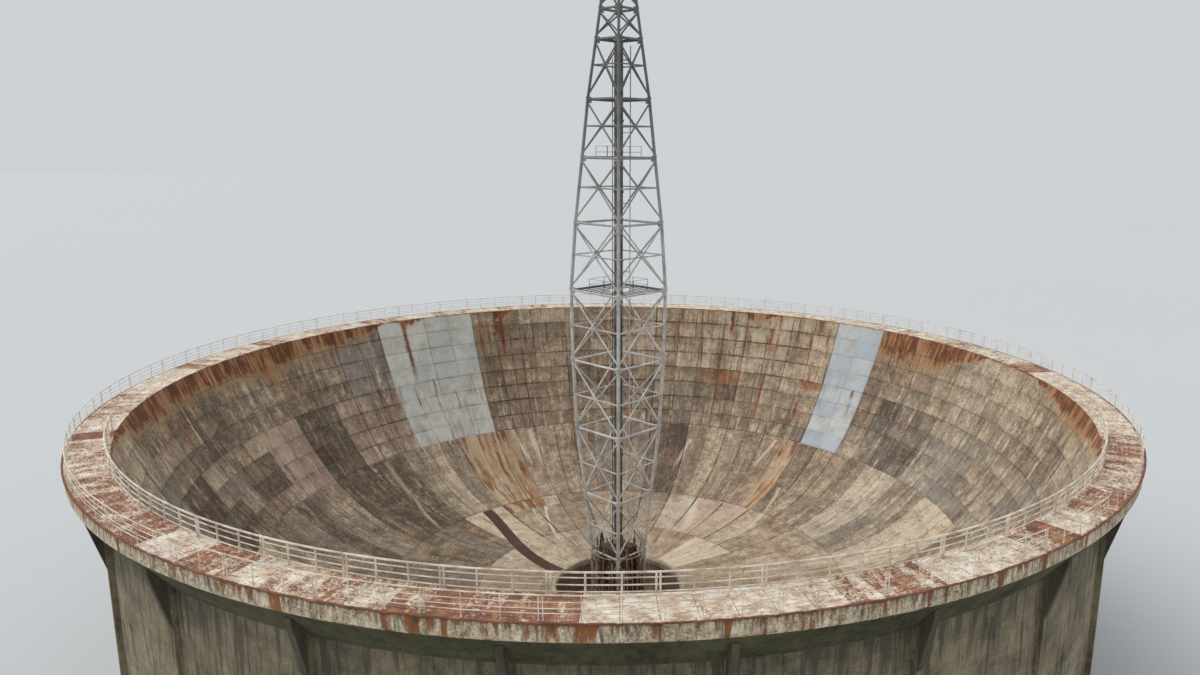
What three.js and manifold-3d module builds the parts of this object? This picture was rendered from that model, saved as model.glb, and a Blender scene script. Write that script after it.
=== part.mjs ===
// Fixed radio telescope dish: a round concrete bowl in a drum wall, a rusted deck with
// railings round its rim, and a square lattice tower that stands in a pit at the middle.
// Modelled at half the real size, in millimetres, +Z up, origin at the middle of the foot.
import * as THREE from "three";
import { mergeVertices } from "three/addons/utils/BufferGeometryUtils.js";
import Module from "manifold-3d";

const wasm = await Module();
wasm.setup();

// Clearance between two pieces that touch.
const GAP = 0.3;

// Rim and bowl. Heights are above the foot, bearings run from the front (-Y) to the right.
const DECK_Z = 9400;
const DECK_RADIUS = 17000;
const MOUTH_RADIUS = 15871;
const BOWL_DEPTH = 7905;
const BOWL_POWER = 5.13;
const SHELL = 200;
const UPPER_HEIGHTS = [1400, 2800, 4200];
const SEAM_A = 12665;
const MIDDLE_RADII = [11500, 10100];
const SEAM_B = 8619;
const SEAM_C = 5236;
const PIT_RADIUS = 2380;
const FACET_DEG = 5;

// Deck plates, ring beam and outer wall.
const DECK_THICK = 25;
const DECK_OVERHANG = 12;
const BEAM_OUTER = 16960;
const BEAM_INNER = 16075;
const FASCIA_HEIGHT = 386;
const COLLAR_HEIGHT = 300;
const SOFFIT_DROP = 1280;
const WALL_OUTER = 16235;
const WALL_THICK = 250;
const RIB_STEP_DEG = 15;
const RIB_THICK = 160;
const RIB_REACH = 16780;
const PILASTER_OUTER = 16360;

// Pit.
const PIT_WALL = 250;
const PIT_FLOOR = 300;

// Railings.
const BAY_DEG = 7.5;
const POST_STEP_DEG = 15;
const RAIL_HEIGHT = 510;
const OUTER_RAIL_RADIUS = 16890;
const INNER_RAIL_RADIUS = 15965;
const INNER_RAIL_END_DEG = 71.25;
const POST = 50;
const TOP_RAIL = 34;
const RAIL = 26;
const OUTER_RAIL_HEIGHTS = [0.27, 0.46, 0.71];
const INNER_RAIL_HEIGHTS = [0.17, 0.45, 0.74];

// Tower: height against the deck and half-diagonal at each frame.
const TOWER_LEVELS = [
  [-9100, 920],
  [-6460, 990],
  [-4170, 1225],
  [-1630, 1506],
  [900, 1632],
  [3450, 1671],
  [5830, 1502],
  [8060, 1251],
  [10010, 1043],
  [11970, 754],
  [12940, 614],
  [13850, 482],
];
const TOWER_SECTIONS = [
  ["tower_base", 0, 2],
  ["tower_lower", 2, 4],
  ["tower_middle", 4, 6],
  ["tower_upper", 6, 8],
  ["tower_top", 8, 11],
];
const LEG_WIDTH = 150;
const FRAME_BAR = 84;
const FRAME_DROP = 62;
const BRACE_BAR = 84;
const BRACE_START = 90;
const BRACE_END = 190;
const FOOT_PLATE = 360;
const FOOT_THICK = 50;
const HEAD_HALF = 420;
const HEAD_THICK = 90;
const HEAD_CURB = 200;
const HEAD_CURB_HEIGHT = 260;

// Inside the tower.
const PEDESTAL_HALF = 500;
const PEDESTAL_TOP = -6350;
const COLUMN_RADIUS = 160;
const COLUMN_TOP = 11900;
const LADDER_X = 400;
const LADDER_HALF = 130;
const STILE = 36;
const RUNG = 24;
const RUNG_STEP = 900;
const LADDER_TOP = 11700;
const PLATFORM_THICK = 40;
// Frame level of each platform, then the length, width and offset of the hole for the way up.
const PLATFORMS = [
  [5, 760, 560, 110],
  [7, 760, 560, 110],
  [8, 760, 560, 110],
  [9, 400, 400, 0],
];

const SQUARE_CAP = [
  [0, 1, 2],
  [0, 2, 3],
];

const COLOURS = {
  concrete: 0x8c8476,
  paleConcrete: 0xa39c8d,
  wall: 0x77736a,
  deck: 0x9a6a5a,
  rail: 0xcfc9b8,
  tower: 0x8f9496,
  column: 0x3f4442,
  rust: 0x4a362c,
};

const root = new THREE.Group();
root.name = "radio_telescope_dish";

/** Adds a geometry to the assembly as one named mesh. */
function addNode(name, geometry, colour, metalness = 0) {
  const mesh = new THREE.Mesh(
    geometry,
    new THREE.MeshStandardMaterial({ color: colour, roughness: 0.8, metalness }),
  );
  mesh.name = name;
  root.add(mesh);
}

/** The geometry as a solid that can be joined or cut. */
function solidOf(geometry) {
  const bare = new THREE.BufferGeometry();
  bare.setAttribute("position", geometry.getAttribute("position").clone());
  bare.setIndex(geometry.index ? geometry.index.clone() : null);
  const merged = mergeVertices(bare, 1e-3);
  return new wasm.Manifold(
    new wasm.Mesh({
      numProp: 3,
      vertProperties: new Float32Array(merged.attributes.position.array),
      triVerts: new Uint32Array(merged.index.array),
    }),
  );
}

/** The solid as a geometry. */
function geometryOf(solid) {
  const mesh = solid.getMesh();
  const geometry = new THREE.BufferGeometry();
  const position = new THREE.BufferAttribute(mesh.vertProperties, mesh.numProp);
  geometry.setAttribute("position", position);
  geometry.setIndex(new THREE.BufferAttribute(mesh.triVerts, 1));
  geometry.computeVertexNormals();
  return geometry;
}

/** All the solids joined into one. */
function join(solids) {
  return wasm.Manifold.union(solids);
}

/** Height of the bowl's inner face below the deck at a radius. */
function bowlZ(radius) {
  return -BOWL_DEPTH * (1 - (radius / MOUTH_RADIUS) ** BOWL_POWER);
}

/** Radius of the bowl's inner face at a depth below the deck. */
function bowlRadius(depth) {
  return MOUTH_RADIUS * (1 - depth / BOWL_DEPTH) ** (1 / BOWL_POWER);
}

/** Closed body through a list of equal loops; the first loop turns left seen from outside. */
function loft(loops, capTriangles) {
  const count = loops[0].length;
  const position = loops.flatMap((loop) => loop.flatMap((p) => [p.x, p.y, p.z]));
  const index = [];
  for (let i = 0; i + 1 < loops.length; i++) {
    for (let j = 0; j < count; j++) {
      const k = (j + 1) % count;
      const a = i * count + j;
      const b = (i + 1) * count + j;
      const c = (i + 1) * count + k;
      const d = i * count + k;
      index.push(a, b, c, a, c, d);
    }
  }
  const last = (loops.length - 1) * count;
  for (const [a, b, c] of capTriangles) {
    index.push(a, b, c, last + a, last + c, last + b);
  }
  const geometry = new THREE.BufferGeometry();
  geometry.setAttribute("position", new THREE.Float32BufferAttribute(position, 3));
  geometry.setIndex(index);
  return geometry;
}

/** Triangles that fill a section of [radius, height] points, all turning left. */
function capOf(section) {
  const contour = section.map(([r, z]) => new THREE.Vector2(r, z));
  return THREE.ShapeUtils.triangulateShape(contour, []).map(([a, b, c]) => {
    const p = contour[a];
    const q = contour[b];
    const s = contour[c];
    const turn = (q.x - p.x) * (s.y - p.y) - (q.y - p.y) * (s.x - p.x);
    return turn > 0 ? [a, b, c] : [a, c, b];
  });
}

/** Section points set up at a bearing, moved sideways by `shift`. Heights are against the deck. */
function loopAt(section, bearingDeg, shift = 0, shrink = 1) {
  const b = THREE.MathUtils.degToRad(bearingDeg);
  return section.map(
    ([r, z]) =>
      new THREE.Vector3(
        r * shrink * Math.sin(b) + shift * Math.cos(b),
        -r * shrink * Math.cos(b) + shift * Math.sin(b),
        DECK_Z + z,
      ),
  );
}

/** Arc of a ring with the given section, between two bearings, short by half a gap at each end. */
function arc(section, from, to) {
  const steps = Math.round((to - from) / FACET_DEG);
  const loops = [];
  for (let i = 0; i <= steps; i++) {
    const shift = i === 0 ? GAP / 2 : i === steps ? -GAP / 2 : 0;
    loops.push(loopAt(section, from + i * FACET_DEG, shift));
  }
  return loft(loops, capOf(section));
}

/** Plate with a [radius, height] outline, set up radially at a bearing. */
function radialPlate(section, bearingDeg, thick) {
  const loops = [-thick / 2, thick / 2].map((shift) => loopAt(section, bearingDeg, shift));
  return loft(loops, capOf(section));
}

/** Straight bar between two points: square with its section upright, or with three sides. */
function bar(from, to, width, sides = 4) {
  const length = from.distanceTo(to);
  const geometry =
    sides === 4
      ? new THREE.BoxGeometry(width, width, length)
      : new THREE.CylinderGeometry(width / 2, width / 2, length, sides).rotateX(Math.PI / 2);
  const turned = new THREE.Matrix4().lookAt(to, from, new THREE.Vector3(0, 0, 1));
  turned.setPosition(new THREE.Vector3().addVectors(from, to).multiplyScalar(0.5));
  return solidOf(geometry.applyMatrix4(turned));
}

/** Section of a stretch of the bowl shell, from its inner face out by its thickness. */
function shellSection(innerPoints) {
  const outer = innerPoints.map(([r, z]) => {
    const slope = (BOWL_DEPTH * BOWL_POWER * (r / MOUTH_RADIUS) ** (BOWL_POWER - 1)) / MOUTH_RADIUS;
    const length = Math.hypot(slope, 1);
    return [r + (SHELL * slope) / length, z - SHELL / length];
  });
  return { inner: innerPoints, outer };
}

/** The point moved down the bowl by the gap, so that two stretches of shell don't touch. */
function eased([r, z], [rNext, zNext]) {
  const length = Math.hypot(rNext - r, zNext - z);
  return [r + ((rNext - r) * GAP) / length, z + ((zNext - z) * GAP) / length];
}

const QUARTERS = [
  ["front", -45],
  ["right", 45],
  ["back", 135],
  ["left", 225],
];

/** One node for each quarter of a ring. */
function addQuarters(name, section, colour) {
  for (const [side, from] of QUARTERS) {
    addNode(`${name}_${side}`, arc(section, from, from + 90), colour);
  }
}

// Bowl: three bands, each in quarters. The upper band has a collar that bears on the ring beam.
const lipZ = -DECK_THICK - GAP;
const upperInner = [
  [MOUTH_RADIUS, lipZ],
  ...UPPER_HEIGHTS.map((depth) => [bowlRadius(depth), -depth]),
  [SEAM_A, bowlZ(SEAM_A)],
];
const upper = shellSection(upperInner);
const collarFoot = [BEAM_INNER - GAP, -COLLAR_HEIGHT];
const upperSection = [
  ...upper.inner,
  ...upper.outer.slice(1).toReversed(),
  collarFoot,
  [BEAM_INNER - GAP, lipZ],
];
addQuarters("bowl_upper", upperSection, COLOURS.concrete);

/** Section of a lower stretch of the bowl between the listed radii, widest first. */
function bandSection(radii) {
  const { inner, outer } = shellSection(radii.map((r) => [r, bowlZ(r)]));
  inner[0] = eased(inner[0], inner[1]);
  outer[0] = eased(outer[0], outer[1]);
  return [...inner, ...outer.toReversed()];
}
addQuarters("bowl_middle", bandSection([SEAM_A, ...MIDDLE_RADII, SEAM_B]), COLOURS.concrete);
addQuarters("bowl_lower", bandSection([SEAM_B, SEAM_C, PIT_RADIUS]), COLOURS.paleConcrete);

// Ring beam under the deck, with a plain fascia and a soffit that slopes in to the wall.
const beamTop = -DECK_THICK - GAP;
addQuarters(
  "ring_beam",
  [
    [BEAM_INNER, beamTop],
    [BEAM_INNER, -SOFFIT_DROP],
    [WALL_OUTER + 25, -SOFFIT_DROP],
    [BEAM_OUTER, -FASCIA_HEIGHT],
    [BEAM_OUTER, beamTop],
  ],
  COLOURS.paleConcrete,
);

// Deck plates on the beam and on the top of the bowl.
addQuarters(
  "deck",
  [
    [MOUTH_RADIUS - DECK_OVERHANG, 0],
    [MOUTH_RADIUS - DECK_OVERHANG, -DECK_THICK],
    [DECK_RADIUS, -DECK_THICK],
    [DECK_RADIUS, 0],
  ],
  COLOURS.deck,
);

// Drum wall with a rib and a pilaster under the soffit at each main bearing.
const wallTop = -SOFFIT_DROP - GAP;
const soffitSlope = (SOFFIT_DROP - FASCIA_HEIGHT) / (BEAM_OUTER - WALL_OUTER - 25);
const ribTop = -FASCIA_HEIGHT - (BEAM_OUTER - RIB_REACH) * soffitSlope - 2 * GAP;
const ribSection = [
  [WALL_OUTER - WALL_THICK / 2, wallTop],
  [WALL_OUTER - WALL_THICK / 2, -DECK_Z],
  [PILASTER_OUTER, -DECK_Z],
  [PILASTER_OUTER, -2300],
  [RIB_REACH, ribTop - 140],
  [RIB_REACH, ribTop],
  [WALL_OUTER + 25, wallTop],
];
const wallSection = [
  [WALL_OUTER - WALL_THICK, wallTop],
  [WALL_OUTER - WALL_THICK, -DECK_Z],
  [WALL_OUTER, -DECK_Z],
  [WALL_OUTER, wallTop],
];
for (const [side, from] of QUARTERS) {
  const pieces = [solidOf(arc(wallSection, from, from + 90))];
  for (let b = from + RIB_STEP_DEG / 2; b < from + 90; b += RIB_STEP_DEG) {
    pieces.push(solidOf(radialPlate(ribSection, b, RIB_THICK)));
  }
  addNode(`outer_wall_${side}`, geometryOf(join(pieces)), COLOURS.wall);
}

// Pit: a round well with a floor slab that the tower stands on.
const pitTop = DECK_Z + bowlZ(PIT_RADIUS) - SHELL - GAP;
const well = new THREE.CylinderGeometry(PIT_RADIUS + PIT_WALL, PIT_RADIUS + PIT_WALL, pitTop, 36);
well.rotateX(Math.PI / 2).translate(0, 0, pitTop / 2);
const hollow = new THREE.CylinderGeometry(PIT_RADIUS, PIT_RADIUS, pitTop, 36);
hollow.rotateX(Math.PI / 2).translate(0, 0, pitTop / 2 + PIT_FLOOR);
addNode("pit", geometryOf(solidOf(well).subtract(solidOf(hollow))), COLOURS.wall);

/** Bearings from `from` to `to` in even steps. */
function bearings(from, to, step) {
  const count = Math.floor((to - from) / step + 1e-6) + 1;
  return Array.from({ length: count }, (_, i) => from + i * step);
}

/** Railing bent at each bay, with posts at the given bearings; an end at mid-bay lies on the chord. */
function railing(radius, heights, from, to, posts) {
  const half = Math.cos(THREE.MathUtils.degToRad(BAY_DEG / 2));
  const bends = bearings(-180 + BAY_DEG / 2, 360, BAY_DEG).filter((b) => b >= from && b <= to);
  const stations = bends.map((b) => [b, 1, 0]);
  if (from < bends[0]) stations.unshift([from, half, GAP / 2]);
  if (to > bends.at(-1)) stations.push([to, half, -GAP / 2]);
  const bars = [[1 - TOP_RAIL / 2 / RAIL_HEIGHT, TOP_RAIL], ...heights.map((h) => [h, RAIL])];
  const pieces = [];
  for (const [fraction, size] of bars) {
    const z = fraction * RAIL_HEIGHT;
    const section = [
      [radius - size / 2, z + size / 2],
      [radius - size / 2, z - size / 2],
      [radius + size / 2, z - size / 2],
      [radius + size / 2, z + size / 2],
    ];
    const loops = stations.map(([b, shrink, shift]) => loopAt(section, b, shift, shrink));
    pieces.push(solidOf(loft(loops, capOf(section))));
  }
  for (const b of posts) {
    const height = RAIL_HEIGHT - TOP_RAIL / 2 - GAP;
    const post = new THREE.BoxGeometry(POST, POST, height);
    post.translate(0, -radius, DECK_Z + GAP + height / 2);
    post.rotateZ(THREE.MathUtils.degToRad(b));
    pieces.push(solidOf(post));
  }
  return geometryOf(join(pieces));
}
for (const [side, from] of QUARTERS) {
  const posts = bearings(from + BAY_DEG / 2, from + 90, POST_STEP_DEG);
  addNode(
    `outer_rail_${side}`,
    railing(OUTER_RAIL_RADIUS, OUTER_RAIL_HEIGHTS, from, from + 90, posts),
    COLOURS.rail,
  );
}
const leftPosts = bearings(-INNER_RAIL_END_DEG, 0, POST_STEP_DEG);
const rightPosts = [...bearings(BAY_DEG / 2, 70, POST_STEP_DEG), INNER_RAIL_END_DEG];
addNode(
  "inner_rail_left",
  railing(INNER_RAIL_RADIUS, INNER_RAIL_HEIGHTS, -INNER_RAIL_END_DEG, 0, leftPosts),
  COLOURS.rail,
);
addNode(
  "inner_rail_right",
  railing(INNER_RAIL_RADIUS, INNER_RAIL_HEIGHTS, 0, INNER_RAIL_END_DEG, rightPosts),
  COLOURS.rail,
);

/** Point on the axis of a tower leg at a height against the deck, with legs on the X and Y axes. */
function legPoint(side, z) {
  const above = Math.max(1, TOWER_LEVELS.findIndex(([level]) => level >= z));
  const [[z0, half0], [z1, half1]] = TOWER_LEVELS.slice(above - 1, above + 1);
  const half = THREE.MathUtils.mapLinear(z, z0, z1, half0, half1);
  const a = (side * Math.PI) / 2;
  return new THREE.Vector3(half * Math.cos(a), half * Math.sin(a), DECK_Z + z);
}

/** Square leg through the tower's levels from `low` to `high`, its faces square to the tower's. */
function leg(side, low, high) {
  const loops = [];
  for (let level = high; level >= low; level--) {
    const centre = legPoint(side, TOWER_LEVELS[level][0] + (level === low ? GAP : 0));
    loops.push(
      [0, 1, 2, 3].map((k) => {
        const a = (k * Math.PI) / 2;
        const out = new THREE.Vector3(Math.cos(a), Math.sin(a), 0);
        return out.multiplyScalar(LEG_WIDTH / Math.SQRT2).add(centre);
      }),
    );
  }
  return solidOf(loft(loops, SQUARE_CAP));
}

/** One section of the tower: legs, level frames and crossed braces on each face. */
function towerSection(low, high) {
  const pieces = [];
  for (let side = 0; side < 4; side++) {
    pieces.push(leg(side, low, high));
    for (let level = low; level < high; level++) {
      const bottom = TOWER_LEVELS[level][0] + BRACE_START;
      const top = TOWER_LEVELS[level + 1][0] - BRACE_END;
      const frame = TOWER_LEVELS[level + 1][0] - FRAME_DROP;
      const next = side + 1;
      pieces.push(bar(legPoint(side, frame), legPoint(next, frame), FRAME_BAR));
      pieces.push(bar(legPoint(side, bottom), legPoint(next, top), BRACE_BAR, 3));
      pieces.push(bar(legPoint(next, bottom), legPoint(side, top), BRACE_BAR, 3));
    }
  }
  if (low === 0) {
    for (let side = 0; side < 4; side++) {
      const foot = new THREE.BoxGeometry(FOOT_PLATE, FOOT_PLATE, FOOT_THICK);
      const at = legPoint(side, TOWER_LEVELS[0][0]);
      pieces.push(solidOf(foot.translate(at.x, at.y, at.z + GAP + FOOT_THICK / 2)));
    }
  }
  return join(pieces);
}
for (const [name, low, high] of TOWER_SECTIONS) {
  addNode(name, geometryOf(towerSection(low, high)), COLOURS.tower, 0.6);
}

// Head: a cap plate with a curb, on the top of the tower.
const headZ = DECK_Z + TOWER_LEVELS.at(-1)[0] + GAP;
const cap = new THREE.CylinderGeometry(HEAD_HALF * Math.SQRT2, HEAD_HALF * Math.SQRT2, HEAD_THICK, 4);
cap.rotateX(Math.PI / 2).translate(0, 0, headZ + HEAD_THICK / 2);
const curb = new THREE.CylinderGeometry(HEAD_CURB, HEAD_CURB, HEAD_CURB_HEIGHT, 12);
curb.rotateX(Math.PI / 2).translate(0, 0, headZ + HEAD_THICK / 2 + HEAD_CURB_HEIGHT / 2);
addNode("tower_head", geometryOf(join([solidOf(cap), solidOf(curb)])), COLOURS.tower, 0.6);

/** Square block with its corners on the X and Y axes, with `half` across the flats. */
function diamond(half, low, high) {
  const block = new THREE.BoxGeometry(2 * half, 2 * half, high - low);
  return block.rotateZ(Math.PI / 4).translate(0, 0, DECK_Z + (low + high) / 2);
}

// Plinth in the pit that carries the column and the ladder.
addNode(
  "tower_pedestal",
  diamond(PEDESTAL_HALF, PIT_FLOOR - DECK_Z + GAP, PEDESTAL_TOP),
  COLOURS.rust,
  0.4,
);

const columnLow = PEDESTAL_TOP + GAP;
const column = new THREE.CylinderGeometry(COLUMN_RADIUS, COLUMN_RADIUS, COLUMN_TOP - columnLow, 12);
column.rotateX(Math.PI / 2).translate(0, 0, DECK_Z + (columnLow + COLUMN_TOP) / 2);
addNode("central_column", column, COLOURS.column, 0.4);

const ladder = [];
for (const side of [-1, 1]) {
  const stile = new THREE.BoxGeometry(STILE, STILE, LADDER_TOP - columnLow);
  stile.translate(LADDER_X, side * LADDER_HALF, DECK_Z + (columnLow + LADDER_TOP) / 2);
  ladder.push(solidOf(stile));
}
for (let z = columnLow + RUNG_STEP / 2; z < LADDER_TOP - 100; z += RUNG_STEP) {
  const rung = new THREE.BoxGeometry(RUNG, 2 * LADDER_HALF, RUNG);
  ladder.push(solidOf(rung.translate(LADDER_X, 0, DECK_Z + z)));
}
addNode("ladder", geometryOf(join(ladder)), COLOURS.rail, 0.5);

// Platforms inside the tower, level with a frame, round the column and the ladder.
PLATFORMS.forEach(([level, holeLength, holeWidth, holeOffset], i) => {
  const z = TOWER_LEVELS[level][0] - FRAME_DROP;
  const half = legPoint(0, z).x;
  const across = half / Math.SQRT2 - FRAME_BAR / 2 - GAP;
  const plate = solidOf(diamond(across, z - PLATFORM_THICK / 2, z + PLATFORM_THICK / 2));
  const trimmed = new THREE.BoxGeometry(2 * half - 360, 2 * half - 360, 400);
  const hole = new THREE.BoxGeometry(holeLength, holeWidth, 400);
  const kept = solidOf(trimmed.translate(0, 0, DECK_Z + z));
  const cut = solidOf(hole.translate(holeOffset, 0, DECK_Z + z));
  addNode(`platform_${i + 1}`, geometryOf(plate.intersect(kept).subtract(cut)), COLOURS.tower, 0.5);
});

export default root;
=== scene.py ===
"""Fixed radio telescope dish at half size: a concrete bowl, its rim deck and its lattice tower."""

import logging
import math
import random
from contextlib import contextmanager
from dataclasses import dataclass
from enum import Enum
from typing import Callable, Iterator, Sequence

import bpy
import numpy as np
from mathutils import Matrix, Vector


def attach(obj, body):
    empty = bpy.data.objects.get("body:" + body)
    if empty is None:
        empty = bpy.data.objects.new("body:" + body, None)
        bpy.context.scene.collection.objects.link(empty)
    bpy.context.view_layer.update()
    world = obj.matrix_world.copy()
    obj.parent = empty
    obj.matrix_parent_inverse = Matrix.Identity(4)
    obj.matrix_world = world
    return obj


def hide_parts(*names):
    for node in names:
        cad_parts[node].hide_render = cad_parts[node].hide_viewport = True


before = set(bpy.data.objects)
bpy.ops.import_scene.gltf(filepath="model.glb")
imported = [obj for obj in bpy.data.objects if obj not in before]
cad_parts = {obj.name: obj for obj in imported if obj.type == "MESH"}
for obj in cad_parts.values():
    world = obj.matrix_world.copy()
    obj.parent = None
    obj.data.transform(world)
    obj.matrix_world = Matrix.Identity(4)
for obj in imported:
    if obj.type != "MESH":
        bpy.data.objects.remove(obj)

BODY = "root"

# Heights are in metres above the foot; bearings run from the front (-Y) round to the right (+X).
DECK = 9.4
MOUTH = 15.871
BOWL_DEPTH = 7.905
BOWL_POWER = 5.13
SEAM_A = 12.665
SEAM_B = 8.619
SEAM_C = 5.236
PIT_RADIUS = 2.38
# Radius at which the maps of the long strips and of the slabs are measured.
STRIPS = 10.6
SLABS = 6.4

# The panels round the bowl come in modules of nine degrees, counted from a joint at -1.5 degrees.
MODULE_DEG = 9.0
MODULE_SHIFT = -1.5
COLUMN_DEG = MODULE_DEG / 2
COLUMNS = 80
# The modules of the upper band meet at this distance down from the lip.
MODULE_FOOT = 3.2
# Plates of the deck, joints of the beam and posts of the railing.
PLATE_DEG = 2.5
PLATES = 144
HALF_QUARTER = 45.0
# Corners that are closer than this are one.
MERGE = 0.0004

Array = np.ndarray
Piece = bpy.types.Object
Face = bpy.types.MeshPolygon
Material = bpy.types.Material
Tree = bpy.types.NodeTree
Socket = bpy.types.NodeSocket
Value = float | int | tuple | Socket
Sockets = dict[str, Socket]
Table = tuple[tuple[float, ...], ...]


class Side(Enum):
    """A quarter of the dish and the bearing of its middle, in degrees."""

    FRONT = 0.0
    RIGHT = 90.0
    BACK = -180.0
    LEFT = -90.0

    @property
    def word(self) -> str:
        """The side's name as the nodes have it."""
        return self.name.lower()


class Place(Enum):
    """What a face of the beam is, and so which of its materials it has."""

    FASCIA = 0
    SOFFIT = 1


# Geometry helpers


def linear(colour: str) -> tuple[float, ...]:
    """Turns an sRGB hex colour into linear RGBA."""
    parts = (int(colour[i : i + 2], 16) / 255 for i in (1, 3, 5))
    return (*(c / 12.92 if c <= 0.04045 else ((c + 0.055) / 1.055) ** 2.4 for c in parts), 1.0)


def polar(radius: float, bearing: float, height: float) -> Vector:
    """Point at a radius, a bearing in degrees and a height above the foot."""
    turn = math.radians(bearing)
    return Vector((radius * math.sin(turn), -radius * math.cos(turn), height))


def bowl_height(radius: float | Array) -> float | Array:
    """Height of the bowl's inner face above the foot at a radius."""
    return DECK - BOWL_DEPTH * (1 - (radius / MOUTH) ** BOWL_POWER)


# The bowl's curve from the lip to the pit, in steps of about 10 mm.
RADII = np.linspace(MOUTH, PIT_RADIUS, 1500)
SLOPE = np.concatenate([[0], np.cumsum(np.hypot(np.diff(RADII), np.diff(bowl_height(RADII))))])


def slope_at(radius: Array) -> Array:
    """Distance down the bowl's face from the lip to each radius."""
    return np.interp(-radius, -RADII, SLOPE)


def radius_at(slope: float) -> float:
    """Radius of the bowl's face at a distance down from the lip."""
    return float(np.interp(slope, SLOPE, RADII))


def start_fresh() -> None:
    """Leaves edit mode and deselects everything."""
    if bpy.context.mode != "OBJECT":
        bpy.ops.object.mode_set(mode="OBJECT")
    bpy.ops.object.select_all(action="DESELECT")


def pick(*pieces: Piece) -> None:
    """Leaves edit mode and selects only these pieces.

    Args:
        pieces: What is selected; the first one becomes active.
    """
    start_fresh()
    for piece in pieces:
        piece.select_set(True)
    bpy.context.view_layer.objects.active = pieces[0]


@contextmanager
def editing(piece: Piece, wanted: Callable[[Face], bool] | None = None) -> Iterator[None]:
    """Goes into edit mode with faces of a piece selected, and back to object mode after the block.

    Args:
        piece: The piece to edit.
        wanted: Accepts the faces that are selected; without it all are.

    Yields:
        Nothing; the block's operators act on the selection.
    """
    pick(piece)
    bpy.ops.object.mode_set(mode="EDIT")
    if wanted is None:
        bpy.ops.mesh.select_all(action="SELECT")
    else:
        bpy.ops.mesh.select_mode(type="FACE")
        bpy.ops.mesh.select_all(action="DESELECT")
        bpy.ops.object.mode_set(mode="OBJECT")
        for face in piece.data.polygons:
            face.select = wanted(face)
        bpy.ops.object.mode_set(mode="EDIT")
    yield
    bpy.ops.object.mode_set(mode="OBJECT")


def settle(piece: Piece) -> Piece:
    """Puts the piece's place into its mesh, so that its object sits at the origin.

    Args:
        piece: The piece, placed by its object.

    Returns:
        The same piece, selected alone.
    """
    pick(piece)
    bpy.ops.object.transform_apply(location=True, rotation=True, scale=True)
    return piece


def placed(piece: Piece, place: Matrix) -> Piece:
    """Moves a piece made at the origin to its place."""
    piece.matrix_world = place @ piece.matrix_world
    return settle(piece)


def face_out(piece: Piece) -> None:
    """Merges doubles and turns every face of a closed piece outwards.

    Args:
        piece: The closed piece.
    """
    with editing(piece):
        bpy.ops.mesh.remove_doubles(threshold=MERGE)
        bpy.ops.mesh.normals_make_consistent(inside=False)


def close_ends(piece: Piece) -> None:
    """Fills the open ends of a piece and turns its faces outwards.

    Args:
        piece: The open piece.
    """
    with editing(piece):
        bpy.ops.mesh.remove_doubles(threshold=MERGE)
        bpy.ops.mesh.fill_holes(sides=0)
    face_out(piece)


def give_wall(piece: Piece, thickness: float) -> None:
    """Gives a sheet its thickness, on the side away from its normals.

    Args:
        piece: The sheet.
        thickness: How thick it becomes.
    """
    pick(piece)
    bpy.ops.object.modifier_add(type="SOLIDIFY")
    piece.modifiers[-1].thickness = thickness
    bpy.ops.object.modifier_apply(modifier=piece.modifiers[-1].name)


def chain(points: Sequence[Vector]) -> Piece:
    """Draws a chain of edges: one corner of a small plane, extruded from point to point.

    Args:
        points: The chain's points; it is closed where the last is the first.

    Returns:
        The new object, still in edit mode with the whole chain selected.
    """
    start_fresh()
    bpy.ops.mesh.primitive_plane_add(size=0.01, location=points[0])
    piece = bpy.context.object
    bpy.ops.object.mode_set(mode="EDIT")
    bpy.ops.mesh.select_mode(type="VERT")
    bpy.ops.mesh.select_all(action="SELECT")
    bpy.ops.mesh.merge(type="CENTER")
    for last, point in zip(points, points[1:]):
        bpy.ops.mesh.extrude_region_move(TRANSFORM_OT_translate={"value": point - last})
    bpy.ops.mesh.select_all(action="SELECT")
    bpy.ops.mesh.remove_doubles(threshold=MERGE)
    return piece


def ring(section: Sequence[tuple[float, float]], stations: Sequence[float]) -> Piece:
    """Spins a section about the dish's axis from station to station.

    Args:
        section: Radius and height of each point; closed where the last is the first.
        stations: Bearings in degrees at which the ring has its edges.

    Returns:
        The ring, in object mode, with its place in its mesh.
    """
    piece = chain([polar(r, stations[0], z) for r, z in section])
    for low, high in zip(stations, stations[1:]):
        # A spin turns the other way from a bearing.
        angle = math.radians(low - high)
        bpy.ops.mesh.spin(steps=1, angle=angle, center=(0, 0, 0), axis=(0, 0, 1))
    return settle(piece)


def turned_copy(piece: Piece, degrees: float) -> Piece:
    """Copies a piece with its own mesh, turned about the dish's axis.

    Args:
        piece: The piece to copy.
        degrees: How far the copy is turned.

    Returns:
        The copy.
    """
    pick(piece)
    bpy.ops.object.duplicate(linked=False)
    copy = bpy.context.object
    copy.rotation_euler = (0, 0, math.radians(degrees))
    return settle(copy)


def quarter_turns(piece: Piece) -> list[Piece]:
    """The piece and three copies of it, a quarter turn apart."""
    return [piece] + [turned_copy(piece, 90.0 * i) for i in (1, 2, 3)]


def quarters(front: Piece) -> dict[Side, Piece]:
    """The front quarter and a turned copy for each other side."""
    return {side: turned_copy(front, side.value) if side.value else front for side in Side}


def joined(pieces: Sequence[Piece]) -> Piece:
    """Joins pieces into the first of them.

    Args:
        pieces: What is joined.

    Returns:
        The one piece that is left.
    """
    pick(*pieces)
    bpy.ops.object.join()
    return settle(bpy.context.object)


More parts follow.
